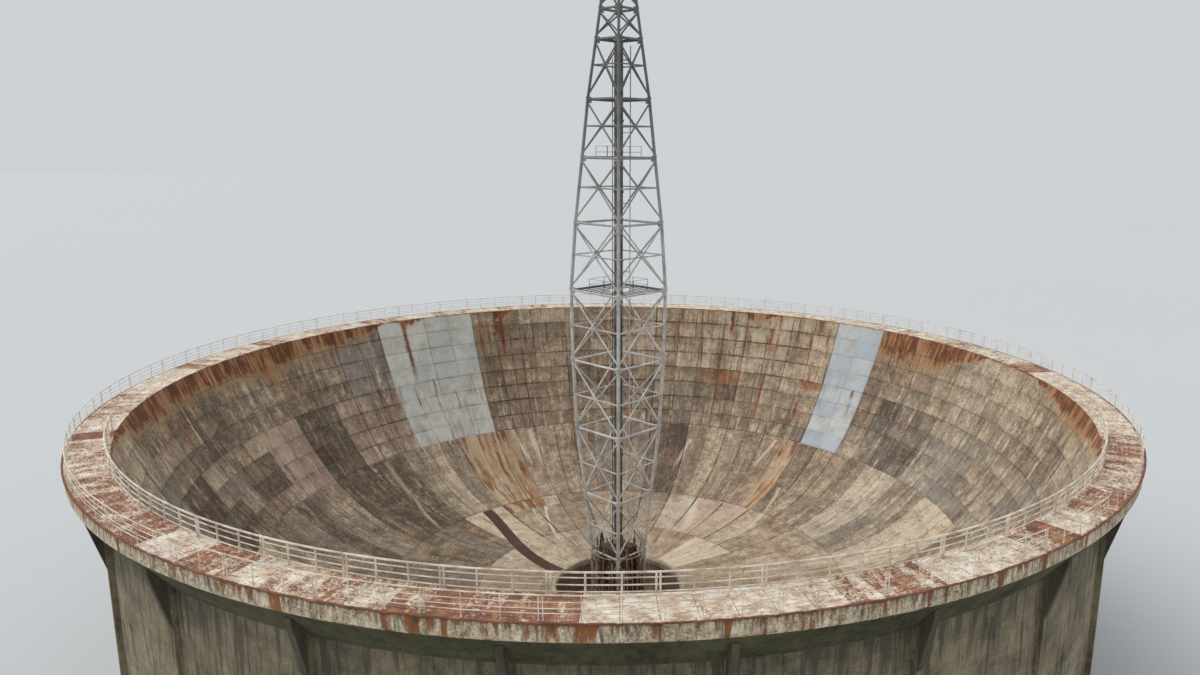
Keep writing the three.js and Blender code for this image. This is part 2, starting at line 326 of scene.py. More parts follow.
def copies(piece: Piece, places: Sequence[Matrix]) -> Piece:
    """Sets out copies of a small piece at the places and joins them; the piece itself goes.

    Args:
        piece: What is repeated, modelled at the origin.
        places: The matrix of each copy.

    Returns:
        One object that holds all the copies.
    """
    made = []
    for place in places:
        copy = piece.copy()
        copy.data = piece.data.copy()
        bpy.context.scene.collection.objects.link(copy)
        copy.matrix_world = place
        made.append(copy)
    bpy.data.objects.remove(piece)
    return joined(made)


def tube(start: Vector, end: Vector, radius: float, sides: int = 6) -> Piece:
    """Round tube between two points.

    Args:
        start: Middle of one end.
        end: Middle of the other end.
        radius: The tube's radius.
        sides: Number of its faces.

    Returns:
        The tube, in object mode.
    """
    start_fresh()
    along = end - start
    bpy.ops.mesh.primitive_cylinder_add(
        vertices=sides,
        radius=radius,
        depth=along.length,
        location=(start + end) / 2,
        rotation=along.to_track_quat("Z", "Y").to_euler(),
    )
    return settle(bpy.context.object)


def block(size: tuple[float, float, float], centre: Vector, edge: float = 0.0) -> Piece:
    """Rectangular bar or plate with its edges eased by a small bevel.

    Args:
        size: Its length along each axis.
        centre: Where its middle is.
        edge: Width of the bevel, or nothing.

    Returns:
        The block, still placed by its object.
    """
    start_fresh()
    bpy.ops.mesh.primitive_cube_add(size=1, location=centre, scale=size)
    piece = bpy.context.object
    bpy.ops.object.transform_apply(location=False, rotation=False, scale=True)
    if edge:
        with editing(piece):
            bpy.ops.mesh.bevel(offset=edge, segments=1, affect="EDGES")
    return piece


def read(items: bpy.types.bpy_prop_collection, name: str, width: int, kind: type = np.float32) -> Array:
    """Reads one property of every vertex, face or loop of a mesh.

    Args:
        items: The vertices, faces or loops.
        name: The property.
        width: How many numbers it has.
        kind: What numbers they are.

    Returns:
        A row of numbers for each item.
    """
    flat = np.empty(len(items) * width, kind)
    items.foreach_get(name, flat)
    return flat.reshape(-1, width)


def wrapped(bearing: Array, middle: float = 0.0) -> Array:
    """Bearings in degrees, brought within half a turn of a middle one."""
    return middle + (bearing - middle + 180) % 360 - 180


def bearings_of(points: Array, middle: float = 0.0) -> Array:
    """Bearing of each point in degrees, within half a turn of a middle bearing."""
    return wrapped(np.degrees(np.arctan2(points[:, 0], -points[:, 1])), middle)


def away_of(points: Array) -> Array:
    """Distance of each point from the dish's axis."""
    return np.hypot(points[:, 0], points[:, 1])


def lay_map(piece: Piece, middle: float, around: float, reach: Callable[[Array, Array], Array]) -> None:
    """Lays the piece's own map: u round the dish from a panel joint, v by `reach`, both in metres.

    Args:
        piece: The piece to map.
        middle: A bearing inside the piece.
        around: Radius at which u is measured.
        reach: Gives v in metres from the radius and the height of a point.
    """
    mesh = piece.data
    while mesh.uv_layers:
        mesh.uv_layers.remove(mesh.uv_layers[0])
    layer = mesh.uv_layers.new(name="ring")
    points = read(mesh.vertices, "co", 3)
    across = np.radians(bearings_of(points, middle) + MODULE_SHIFT) * around
    down = reach(away_of(points), points[:, 2])
    index = read(mesh.loops, "vertex_index", 1, np.int32)[:, 0]
    layer.data.foreach_set("uv", np.stack([across, down], 1)[index].astype(np.float32).ravel())


def write_values(piece: Piece, domain: str, **values: Array) -> None:
    """Stores numbers for each face or point of the piece, for its material to read.

    Args:
        piece: The piece.
        domain: FACE or POINT.
        values: One number a face or a point, by the name of the attribute.
    """
    for name, numbers in values.items():
        layer = piece.data.attributes.new(name, "FLOAT", domain)
        layer.data.foreach_set("value", np.asarray(numbers, np.float32))


def hand_in(
    piece: Piece,
    name: str,
    materials: Sequence[Material],
    nodes: Sequence[str] = (),
    smooth: float = 30.0,
) -> None:
    """Names a finished piece, shades and dresses it, and puts it on the frame.

    Args:
        piece: The finished mesh.
        name: The piece's name.
        materials: Its materials, in the order of its faces' indices.
        nodes: The CAD nodes that it stands for.
        smooth: Angle in degrees under which edges are shaded smooth.
    """
    settle(piece)
    bpy.ops.object.shade_smooth_by_angle(angle=math.radians(smooth))
    piece.name = name
    piece.data.name = name
    piece.data.materials.clear()
    for material in materials:
        piece.data.materials.append(material)
    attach(piece, BODY)
    if nodes:
        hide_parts(*nodes)
    logging.info("built %s, %d faces", name, len(piece.data.polygons))


def dress_node(name: str, material: Material) -> None:
    """Gives a CAD node that stays its finish.

    Args:
        name: The node.
        material: Its finish.
    """
    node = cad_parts[name]
    node.data.materials.clear()
    node.data.materials.append(material)
    logging.info("dressed %s", name)


# Finishes


class Kind(Enum):
    """A node as the finishes use it: its type, the sockets given in order, its output, its settings."""

    MAP = ("ShaderNodeUVMap", (), 0, {"uv_map": "ring"})
    PLACE = ("ShaderNodeTexCoord", (), "Object", {})
    X = ("ShaderNodeSeparateXYZ", (0,), "X", {})
    Y = ("ShaderNodeSeparateXYZ", (0,), "Y", {})
    Z = ("ShaderNodeSeparateXYZ", (0,), "Z", {})
    STORED = ("ShaderNodeAttribute", (), "Fac", {})
    LANES = ("ShaderNodeMapping", (0, "Scale", "Location"), 0, {})
    NOISE = ("ShaderNodeTexNoise", (0, "Scale", "Detail", "Roughness"), 0, {})
    CHANCE = ("ShaderNodeTexWhiteNoise", (1,), 0, {"noise_dimensions": "1D"})
    RANGE = ("ShaderNodeMapRange", (0, 1, 2, 3, 4), 0, {})
    BLEND = ("ShaderNodeMix", (0, 6, 7), 2, {"data_type": "RGBA"})
    SUM = ("ShaderNodeMath", (0, 1), 0, {"operation": "ADD"})
    LESS = ("ShaderNodeMath", (0, 1), 0, {"operation": "SUBTRACT"})
    TIMES = ("ShaderNodeMath", (0, 1), 0, {"operation": "MULTIPLY"})
    WEIGHED = ("ShaderNodeMath", (0, 1, 2), 0, {"operation": "MULTIPLY_ADD"})
    MOST = ("ShaderNodeMath", (0, 1), 0, {"operation": "MAXIMUM"})
    OVER = ("ShaderNodeMath", (0, 1), 0, {"operation": "GREATER_THAN"})
    FOLD = ("ShaderNodeMath", (0, 1), 0, {"operation": "PINGPONG"})
    PART = ("ShaderNodeMath", (0,), 0, {"operation": "FRACT"})
    WHOLE = ("ShaderNodeMath", (0,), 0, {"operation": "FLOOR"})
    AMOUNT = ("ShaderNodeMath", (0,), 0, {"operation": "ABSOLUTE"})
    FLAT = ("ShaderNodeVectorMath", (0, 1), 0, {"operation": "MULTIPLY"})
    LENGTH = ("ShaderNodeVectorMath", (0,), "Value", {"operation": "LENGTH"})
    BUMP = ("ShaderNodeBump", ("Height", "Distance", "Strength"), 0, {})
    SHADER = ("ShaderNodeBsdfPrincipled", ("Base Color", "Roughness", "Metallic", "Normal"), 0, {})


def add(tree: Tree, kind: Kind, *inputs: Value, **settings: object) -> Socket:
    """Adds a node to a material, with its settings and links.

    Args:
        tree: The material's node tree.
        kind: What the node is.
        inputs: Its inputs in the kind's order, each a value or another node's output.
        settings: Settings beside the kind's own.

    Returns:
        The node's output.
    """
    name, sockets, out, own = kind.value
    node = tree.nodes.new(name)
    for key, value in {**own, **settings}.items():
        setattr(node, key, value)
    for key, value in zip(sockets, inputs):
        if isinstance(value, Socket):
            tree.links.new(value, node.inputs[key])
        else:
            node.inputs[key].default_value = value
    return node.outputs[out]


@dataclass(frozen=True)
class Look:
    """What a finish hands to the shader: its colour, roughness and relief in metres."""

    colour: Socket
    roughness: Socket
    height: Socket
    relief: float


@dataclass(frozen=True)
class Finish:
    """A surface finish that can be made into a material."""

    name: str

    def paint(self, tree: Tree) -> Look:
        """Adds the nodes that give the finish its look."""
        raise NotImplementedError

    def metallic(self) -> float:
        """How metallic the finish is."""
        return 0.0

    def material(self) -> Material:
        """Makes the finish into a material.

        Returns:
            The material, with a bump under its colour and roughness.
        """
        made = bpy.data.materials.new(self.name)
        made.use_nodes = True
        tree = made.node_tree
        tree.nodes.clear()
        look = self.paint(tree)
        bump = add(tree, Kind.BUMP, look.height, look.relief, 0.8)
        shader = add(tree, Kind.SHADER, look.colour, look.roughness, self.metallic(), bump)
        surface = tree.nodes.new("ShaderNodeOutputMaterial").inputs["Surface"]
        tree.links.new(shader, surface)
        return made


@dataclass(frozen=True)
class PanelConcrete(Finish):
    """Weathered concrete panels: matt and stained, streaked with damp and lime, rusted at the top."""

    dark: str
    middle: str
    pale: str
    around: float
    column: float
    course: float = 50.0
    streaks: Table = ()
    limes: Table = ()
    streaky: float = 1.0
    grid: float = 0.45
    drips: float = 1.0
    cool: str = "#8d8e8c"
    pink: str = "#b79a8c"
    patch: str = "#c3c3ba"
    patch_pale: str = "#dadad1"
    patch_blue: str = "#b4bfcb"
    lime: str = "#e4d4b8"
    damp: str = "#3c3126"
    rust_dark: str = "#633520"
    rust_light: str = "#a36435"
    ochre: str = "#b8966a"
    joint: str = "#2f271f"

    def paint(self, tree: Tree) -> Look:
        """Mixes panel tone, streaks, stains, rust and joints over the piece's own map.

        Args:
            tree: The material's node tree.

        Returns:
            The panels' look.
        """
        on = self.ground(tree)
        mottle, blotch, grain, stretch, streak, thread = (
            on[name] for name in ("mottle", "blotch", "grain", "stretch", "streak", "thread")
        )
        weights = (1.35, 1.3, self.streaky, 0.6 * self.streaky, 1.45)
        level = add(tree, Kind.WEIGHED, on["tone"], 0.18, 0.5 - sum(weights) / 2)
        for noise, weight in zip((mottle, blotch, streak, thread, grain), weights):
            level = add(tree, Kind.WEIGHED, noise, weight, level)
        low = add(tree, Kind.RANGE, level, 0.0, 0.5)
        high = add(tree, Kind.RANGE, level, 0.5, 1.0)
        base = add(tree, Kind.BLEND, low, linear(self.dark), linear(self.middle))
        base = add(tree, Kind.BLEND, high, base, linear(self.pale))
        for hue, end, most in ((self.cool, -1.0, 0.6), (self.pink, 1.0, 0.55)):
            share = add(tree, Kind.RANGE, on["tint"], 0.0, end, 0.0, most)
            base = add(tree, Kind.BLEND, share, base, linear(hue))
        broken = add(tree, Kind.RANGE, blotch, 0.42, 0.56, 0.1, 1.0)
        # Drips 150 mm to 400 mm wide and up to 4 m long: damp, then lime.
        for hue, shift, start, most, table in (
            (self.damp, (5.0, 9.0, 4.0), 0.53, 0.7, ()),
            (self.lime, (11.0, 2.0, 0.0), 0.56, 0.85, self.limes),
        ):
            lane = add(tree, Kind.LANES, on["place"], (3.2, 0.22, 1.0), shift)
            drip = add(tree, Kind.NOISE, lane, 1.0, 5.0, 0.62)
            share = add(tree, Kind.RANGE, drip, start, start + 0.1, 0.0, most * self.drips)
            share = self.streaked(tree, add(tree, Kind.TIMES, share, broken), table, on)
            base = add(tree, Kind.BLEND, share, base, linear(hue))
        line = self.lined(tree, on)
        # Dirt hangs below each level joint and gathers beside every joint.
        below = add(tree, Kind.PART, add(tree, Kind.TIMES, on["down"], 1 / self.course))
        below = add(tree, Kind.RANGE, below, 0.0, min(0.6, 0.5 / self.course), 0.55, 0.0)
        hung = add(tree, Kind.TIMES, below, add(tree, Kind.RANGE, streak, 0.42, 0.6))
        dirt = add(tree, Kind.MOST, hung, line)
        base = add(tree, Kind.BLEND, dirt, base, linear(self.damp))
        # Coats of pale paint, thinner where damp comes through.
        coat = add(tree, Kind.RANGE, level, 0.1, 0.9)
        coat = add(tree, Kind.BLEND, coat, linear(self.patch), linear(self.patch_pale))
        chill = add(tree, Kind.RANGE, on["tint"], 0.0, -1.0, 0.0, 0.9)
        coat = add(tree, Kind.BLEND, chill, coat, linear(self.patch_blue))
        worn = add(tree, Kind.RANGE, mottle, 0.34, 0.56, 0.72, 1.0)
        worn = add(tree, Kind.WEIGHED, dirt, -0.35, worn)
        base = add(tree, Kind.BLEND, add(tree, Kind.TIMES, on["patch"], worn), base, coat)
        base = self.rusted(tree, base, on)
        # Joints are mostly dark, and filled with pale lime here and there.
        filled = add(tree, Kind.RANGE, blotch, 0.6, 0.66, 0.0, 0.9)
        filler = add(tree, Kind.BLEND, filled, linear(self.joint), linear(self.lime))
        gap = add(tree, Kind.RANGE, stretch, 0.4, 0.58, 1.0, 0.35)
        gap = add(tree, Kind.TIMES, on["joint"], gap)
        colour = add(tree, Kind.BLEND, gap, base, filler)
        rough = add(tree, Kind.RANGE, blotch, 0.2, 0.8, 0.82, 0.97)
        height = add(tree, Kind.WEIGHED, line, -0.8, add(tree, Kind.SUM, mottle, grain))
        return Look(colour, rough, height, 0.02)

    def ground(self, tree: Tree) -> Sockets:
        """Adds the map, the numbers stored on the piece and the noises.

        Args:
            tree: The material's node tree.

        Returns:
            The outputs by name.
        """
        place = add(tree, Kind.MAP)
        on = {"place": place, "across": add(tree, Kind.X, place), "down": add(tree, Kind.Y, place)}
        for name in ("tone", "tint", "patch", "rust", "run", "joint", "lines"):
            on[name] = add(tree, Kind.STORED, attribute_name=name)
        for name, *noise in (
            # Damp blotches about a metre across.
            ("mottle", 1.0, 7.0, 0.66),
            # Stains about 300 mm across.
            ("blotch", 3.4, 7.0, 0.68),
            # Pitting and scaled spots about 100 mm across.
            ("grain", 10.0, 4.0, 0.75),
            # Joints show and fade in stretches of some 3 m.
            ("stretch", 0.33, 5.0, 0.7),
        ):
            on[name] = add(tree, Kind.NOISE, place, *noise)
        for name, scale, shift, *noise in (
            # Water streaks 300 mm wide and some 2 m long.
            ("streak", (3.4, 0.45, 1.0), (0.0, 0.0, 0.0), 6.0, 0.66),
            # Fine runs 100 mm wide.
            ("thread", (10.0, 0.9, 1.0), (3.0, 7.0, 0.0), 4.0, 0.6),
            # Blocks of the rust band some 700 mm wide are soaked more or less.
            ("chunk", (1.4, 0.25, 1.0), (4.0, 6.0, 1.0), 3.0, 0.6),
            # Scattered rust runs 200 mm wide.
            ("drip", (4.5, 0.4, 1.0), (2.0, 5.0, 8.0), 4.0, 0.6),
        ):
            lane = add(tree, Kind.LANES, place, scale, shift)
            on[name] = add(tree, Kind.NOISE, lane, 1.0, *noise)
        return on

    def lined(self, tree: Tree, on: Sockets) -> Socket:
        """Draws soft lines of dirt along the courses and columns of the panels.

        Args:
            tree: The material's node tree.
            on: The outputs of `ground`.

        Returns:
            How dark the lines are.
        """
        row_line = add(tree, Kind.FOLD, on["down"], self.course / 2)
        row_line = add(tree, Kind.RANGE, row_line, 0.02, 0.065, 0.75, 0.0)
        side_line = add(tree, Kind.FOLD, on["across"], self.column / 2)
        side_line = add(tree, Kind.RANGE, side_line, 0.02, 0.06, self.grid, 0.0)
        line = add(tree, Kind.MOST, row_line, side_line)
        line = add(tree, Kind.TIMES, line, add(tree, Kind.RANGE, on["stretch"], 0.4, 0.58, 1.0, 0.1))
        return add(tree, Kind.TIMES, line, on["lines"])

    def rusted(self, tree: Tree, base: Socket, on: Sockets) -> Socket:
        """Lays rust over the concrete: the band under the lip, scattered runs and the named streaks.

        Args:
            tree: The material's node tree.
            base: Colour of the concrete.
            on: The outputs of `ground`; in "rust" 0.5 is the band's foot.

        Returns:
            The colour with its rust.
        """
        streak, blotch, thread, chunk = (on[name] for name in ("streak", "blotch", "thread", "chunk"))
        edge: Value = -1.25
        for part, weight in ((streak, 0.9), (blotch, 0.7), (thread, 0.3), (on["rust"], 1.0), (chunk, 0.6)):
            edge = add(tree, Kind.WEIGHED, part, weight, edge)
        fringe = add(tree, Kind.RANGE, edge, 0.24, 0.5, 0.0, 0.6)
        # Ochre wash over the panels that have most runs.
        wash = add(tree, Kind.RANGE, on["run"], 0.5, 0.9, 0.0, 1.0)
        wash = add(tree, Kind.RANGE, add(tree, Kind.TIMES, streak, wash), 0.3, 0.62, 0.0, 0.6)
        fringe = add(tree, Kind.MOST, fringe, wash)
        base = add(tree, Kind.BLEND, fringe, base, linear(self.ochre))
        band = add(tree, Kind.RANGE, edge, 0.44, 0.58, 0.0, 0.92)
        # Pale runs cut the band into blocks.
        cut = add(tree, Kind.WEIGHED, chunk, 1.8, thread)
        band = add(tree, Kind.TIMES, band, add(tree, Kind.RANGE, cut, 1.4, 1.6, 1.0, 0.25))
        drip = add(tree, Kind.WEIGHED, on["run"], 0.14, on["drip"])
        drip = add(tree, Kind.RANGE, drip, 0.62, 0.72, 0.0, 0.8)
        cover = self.streaked(tree, add(tree, Kind.MOST, band, drip), self.streaks, on)
        ochre: Value = -0.62
        for part, weight in ((blotch, 0.9), (chunk, 1.4), (thread, 0.7), (cover, -0.3)):
            ochre = add(tree, Kind.WEIGHED, part, weight, ochre)
        ochre = add(tree, Kind.RANGE, ochre, 0.52, 0.78)
        stain = add(tree, Kind.BLEND, ochre, linear(self.rust_dark), linear(self.rust_light))
        return add(tree, Kind.BLEND, cover, base, stain)

    def streaked(self, tree: Tree, cover: Socket, table: Table, on: Sockets) -> Socket:
        """Adds the named streaks of a table to a cover.

        Args:
            tree: The material's node tree.
            cover: How much is covered already.
            table: RUST_STREAKS, LIME_STREAKS or nothing.
            on: The outputs of `ground`, of which the stains fray a streak's sides.

        Returns:
            The cover with its streaks.
        """
        down = on["down"]
        for bearing, lean, top, foot, half, most in table:
            middle = math.radians(bearing + MODULE_SHIFT) * self.around
            slope = math.radians(lean) * self.around / (foot - top)
            off = add(tree, Kind.WEIGHED, down, -slope, on["across"])
            off = add(tree, Kind.LESS, off, middle - slope * top + half)
            off = add(tree, Kind.AMOUNT, add(tree, Kind.WEIGHED, on["blotch"], half * 2, off))
            share = add(tree, Kind.RANGE, off, half * 0.3, half * 1.3, most, 0.0)
            ends = add(tree, Kind.RANGE, down, foot * 0.6 + top * 0.4, foot, 1.0, 0.0)
            share = add(tree, Kind.TIMES, share, ends)
            share = add(tree, Kind.TIMES, share, add(tree, Kind.OVER, down, top))
            cover = add(tree, Kind.MOST, cover, share)
        return cover


# Rust that spills down the beam's face: bearing, half width in degrees, how much.
FASCIA_RUST = (
    *((-40.0, 0.3, 0.26), (-27.2, 0.45, 0.14), (-25.8, 0.25, 0.16), (-22.9, 0.8, 0.18)),
    *((-19.2, 0.35, 0.12), (-17.1, 0.15, 0.2), (-14.6, 0.45, 0.22), (-12.8, 0.55, 0.24)),
    *((-11.7, 0.3, 0.2), (-10.8, 0.3, 0.22), (-8.2, 0.3, 0.12), (-3.9, 1.0, 0.15)),
    *((-2.1, 1.2, 0.23), (2.4, 0.5, 0.14), (6.8, 0.3, 0.3), (9.2, 0.2, 0.22)),
    *((11.7, 0.2, 0.12), (18.4, 0.5, 0.12), (21.1, 0.25, 0.22), (26.6, 0.2, 0.22)),
    *((27.6, 0.4, 0.25), (32.5, 0.45, 0.26)),
)


@dataclass(frozen=True)
class FasciaConcrete(Finish):
    """Upright face of the cast beam: pale and chalky, with soot drips and rust from the deck above."""

    dark: str = "#765c3e"
    pale: str = "#f3e3c4"
    soot: str = "#2e2116"
    rust_dark: str = "#4a250f"
    rust_light: str = "#a3602c"

    def paint(self, tree: Tree) -> Look:
        """Runs drips, rust blocks and joints down the piece's own map.

        Args:
            tree: The material's node tree.

        Returns:
            The fascia's look.
        """
        place = add(tree, Kind.MAP)
        across = add(tree, Kind.X, place)
        down = add(tree, Kind.Y, place)
        # Blotches of a metre, spots of 170 mm and scaling of 50 mm.
        mottle, blotch, grain = (
            add(tree, Kind.NOISE, place, *noise)
            for noise in ((1.1, 8.0, 0.66), (6.0, 6.0, 0.72), (22.0, 4.0, 0.75))
        )
        # Soot drips 80 mm wide that start at the deck's edge, and rust spills 300 mm to 1 m wide.
        drip, spill = (
            add(tree, Kind.NOISE, add(tree, Kind.LANES, place, *lane), 1.0, 6.0, 0.72)
            for lane in (((9.0, 1.6, 1.0),), ((1.4, 0.5, 1.0), (6.3, 1.0, 0.0)))
        )
        level: Value = -2.0
        for noise, weight in ((mottle, 1.8), (blotch, 1.9), (grain, 1.6)):
            level = add(tree, Kind.WEIGHED, noise, weight, level)
        level = add(tree, Kind.RANGE, level, 0.2, 1.0)
        base = add(tree, Kind.BLEND, level, linear(self.dark), linear(self.pale))
        soot = drip
        for part, weight in ((down, -0.24), (mottle, 0.5), (blotch, 0.3)):
            soot = add(tree, Kind.WEIGHED, part, weight, soot)
        soot = add(tree, Kind.RANGE, soot, 0.82, 0.98, 0.0, 0.85)
        base = add(tree, Kind.BLEND, soot, base, linear(self.soot))
        # Rust gathers at the joints and along the top edge.
        bay = math.radians(PLATE_DEG) * MOUTH
        offset = 100.5 - MODULE_SHIFT / PLATE_DEG
        nearest = add(tree, Kind.PART, add(tree, Kind.WEIGHED, across, 1 / bay, offset))
        nearest = add(tree, Kind.AMOUNT, add(tree, Kind.LESS, nearest, 0.5))
        at_joint = add(tree, Kind.RANGE, nearest, 0.0, 0.16, 0.1, 0.0)
        top = add(tree, Kind.RANGE, down, 0.0, 0.1, 0.34, 0.0)
        iron = add(tree, Kind.SUM, spill, at_joint)
        for part, weight in ((drip, 0.8), (down, -0.1)):
            iron = add(tree, Kind.WEIGHED, part, weight, iron)
        iron = add(tree, Kind.SUM, iron, top)
        for bearing, half, more in FASCIA_RUST:
            middle, reach = (math.radians(turn) * MOUTH for turn in (bearing + MODULE_SHIFT, half))
            off = add(tree, Kind.AMOUNT, add(tree, Kind.LESS, across, middle))
            off = add(tree, Kind.RANGE, off, reach * 0.5, reach, more, 0.0)
            iron = add(tree, Kind.SUM, iron, off)
        iron = add(tree, Kind.RANGE, iron, 0.94, 1.12, 0.0, 0.92)
        ochre = add(tree, Kind.RANGE, add(tree, Kind.WEIGHED, drip, 1.3, mottle), 1.0, 1.36)
        stain = add(tree, Kind.BLEND, ochre, linear(self.rust_dark), linear(self.rust_light))
        colour = add(tree, Kind.BLEND, iron, base, stain)
        rough = add(tree, Kind.RANGE, blotch, 0.2, 0.8, 0.82, 0.97)
        return Look(colour, rough, add(tree, Kind.SUM, blotch, grain), 0.012)


@dataclass(frozen=True)
class CastConcrete(Finish):
    """Board-marked cast concrete: matt, with dark and rusty water runs down from its top edge, and painted
    shade near that edge and on the ribs.
    """

    dark: str
    pale: str
    # Colour of the soot runs and board marks, and of the painted shade near the top edge and on the ribs.
    soot: str = "#2b2721"
    rust: str = "#7c5236"
    rusty: float = 0.0
    # Top edge, and the depth below it over which runs and painted shade darken the concrete.
    top: float = DECK
    run: float = 0.5
    board: float = 0.15
    board_mark: float = 0.0
    ribs: float = 20.0

    def paint(self, tree: Tree) -> Look:
        """Mixes blotches, runs, painted shade and board marks over the piece's own place.

        Args:
            tree: The material's node tree.

        Returns:
            The concrete's look.
        """
        place = add(tree, Kind.PLACE)
        height = add(tree, Kind.Z, place)
        # Blotches of a metre, stains of 250 mm and pitting of 40 mm.
        mottle, blotch, grain = (
            add(tree, Kind.NOISE, place, *noise)
            for noise in ((0.8, 8.0, 0.64), (4.0, 6.0, 0.65), (26.0, 4.0, 0.7))
        )
        streak, spill = (
            add(tree, Kind.NOISE, add(tree, Kind.LANES, place, scale, shift), 1.0, *noise)
            for scale, shift, *noise in (
                # Runs 100 mm wide and a metre or more long.
                ((5.0, 5.0, 0.5), (0.0, 0.0, 0.0), 6.0, 0.62),
                # Rusty spills 400 mm wide.
                ((2.2, 2.2, 0.3), (9.0, 4.0, 2.0), 5.0, 0.65),
            )
        )
        level: Value = -1.1
        for noise, weight in ((mottle, 1.2), (streak, 1.1), (blotch, 0.5), (grain, 0.6)):
            level = add(tree, Kind.WEIGHED, noise, weight, level)
        level = add(tree, Kind.RANGE, level, 0.2, 1.0)
        base = add(tree, Kind.BLEND, level, linear(self.dark), linear(self.pale))
        # Darker towards the top edge: partly water runs, partly painted shade where the edge above shades
        # the face.
        top_runs_and_shade = add(tree, Kind.RANGE, height, self.top - self.run * 2, self.top, -0.22, 0.1)
        # Faces further out than `ribs` are darkened: painted shade that sinks the ribs into the wall's
        # shade, with dark stains.
        away = add(tree, Kind.LENGTH, add(tree, Kind.FLAT, place, (1.0, 1.0, 0.0)))
        out = add(tree, Kind.RANGE, away, self.ribs, self.ribs + 0.03, 0.0, 0.4)
        runs_and_painted_shade = add(tree, Kind.SUM, add(tree, Kind.SUM, streak, top_runs_and_shade), out)
        drip = add(tree, Kind.SUM, add(tree, Kind.SUM, spill, top_runs_and_shade), self.rusty)
        for cover, low, high, most, hue in (
            (runs_and_painted_shade, 0.52, 0.66, 0.75, self.soot),
            (drip, 0.66, 0.76, 0.8, self.rust),
        ):
            cover = add(tree, Kind.RANGE, cover, low, high, 0.0, most)
            base = add(tree, Kind.BLEND, cover, base, linear(hue))
        # Each board of the formwork leaves a line and its own shade.
        line = add(tree, Kind.TIMES, height, 1 / self.board)
        mark = add(tree, Kind.RANGE, add(tree, Kind.PART, line), 0.0, 0.16, self.board_mark, 0.0)
        shade = add(tree, Kind.CHANCE, add(tree, Kind.WHOLE, line))
        shade = add(tree, Kind.RANGE, shade, 0.0, 1.0, 0.0, self.board_mark * 0.5)
        mark = add(tree, Kind.MOST, mark, shade)
        colour = add(tree, Kind.BLEND, mark, base, linear(self.soot))
        rough = add(tree, Kind.RANGE, blotch, 0.2, 0.8, 0.82, 0.97)
        relief = add(tree, Kind.WEIGHED, mark, -1.0, add(tree, Kind.SUM, mottle, grain))
        return Look(colour, rough, relief, 0.02)


@dataclass(frozen=True)
class FlakedDeckPaint(Finish):
    """Brushed paint that flakes off steel plate: chalky cream over dull, deep red-brown rust."""

    paint_pale: str = "#efe4d2"
    paint_dirty: str = "#c6a888"
    rust_red: str = "#8d5b48"
    rust_orange: str = "#ba875f"
    rust_dark: str = "#472c23"
    plank: float = 0.23
    worn_edge: tuple[float, float] = (16.93, 16.985)

    def paint(self, tree: Tree) -> Look:
        """Thresholds ragged, radial noise into paint and rust.

        Args:
            tree: The material's node tree.

        Returns:
            The deck's look.
        """
        place = add(tree, Kind.MAP)
        along = add(tree, Kind.Y, place)
        bias, joint = (add(tree, Kind.STORED, attribute_name=name) for name in ("paint", "joint"))
        # The outer 40 mm of the walk has lost its paint.
        edge = add(tree, Kind.RANGE, along, *self.worn_edge)
        band, crack = (
            add(tree, Kind.NOISE, add(tree, Kind.LANES, place, scale, shift), 1.0, *noise)
            for scale, shift, *noise in (
                # Ragged bands across the walk, 400 mm wide.
                ((2.6, 0.8, 1.0), (0.0, 0.0, 0.0), 8.0, 0.7),
                # Scratches and cracks 15 mm wide, mostly along the walk.
                ((1.3, 4.5, 1.0), (7.0, 3.0, 0.0), 6.0, 0.7),
            )
        )
        # Flakes of 60 to 150 mm, dirt of 400 mm and specks of 20 to 60 mm.
        flake, dirt, speck = (
            add(tree, Kind.NOISE, place, *noise)
            for noise in ((7.0, 8.0, 0.74), (2.6, 6.0, 0.66), (17.0, 3.0, 0.7))
        )
        # Planks under the paint, laid along the walk.
        plank = add(tree, Kind.PART, add(tree, Kind.TIMES, along, 1 / self.plank))
        line = add(tree, Kind.RANGE, plank, 0.0, 0.14, 1.0, 0.0)
        level = bias
        for part, weight in ((band, 1.1), (flake, 0.7), (edge, -0.5), (speck, 0.8), (line, -0.05)):
            level = add(tree, Kind.WEIGHED, part, weight, level)
        cover = add(tree, Kind.RANGE, level, 1.27, 1.34)
        chalk = add(tree, Kind.RANGE, dirt, 0.38, 0.58)
        painted = add(tree, Kind.BLEND, chalk, linear(self.paint_dirty), linear(self.paint_pale))
        warm = add(tree, Kind.RANGE, dirt, 0.46, 0.64)
        rusted = add(tree, Kind.BLEND, warm, linear(self.rust_red), linear(self.rust_orange))
        deep = add(tree, Kind.RANGE, flake, 0.54, 0.66, 0.0, 0.55)
        deep = add(tree, Kind.WEIGHED, edge, 0.5, deep)
        deep = add(tree, Kind.WEIGHED, line, 0.6, deep, use_clamp=True)
        pitted = add(tree, Kind.BLEND, deep, rusted, linear(self.rust_dark))
        # Rust bleeds a little into the paint beside it.
        bleed = add(tree, Kind.RANGE, level, 1.32, 1.46, 0.55, 0.0)
        soaked = add(tree, Kind.BLEND, bleed, painted, linear(self.rust_orange))
        faced = add(tree, Kind.BLEND, cover, pitted, soaked)
        crack = add(tree, Kind.AMOUNT, add(tree, Kind.LESS, crack, 0.5))
        crack = add(tree, Kind.RANGE, crack, 0.004, 0.021, 0.7, 0.0)
        gap = add(tree, Kind.TIMES, joint, 0.7)
        for share in (crack, gap):
            faced = add(tree, Kind.BLEND, share, faced, linear(self.rust_dark))
        rough = add(tree, Kind.RANGE, cover, 0.0, 1.0, 0.92, 0.65)
        return Look(faced, rough, cover, 0.006)


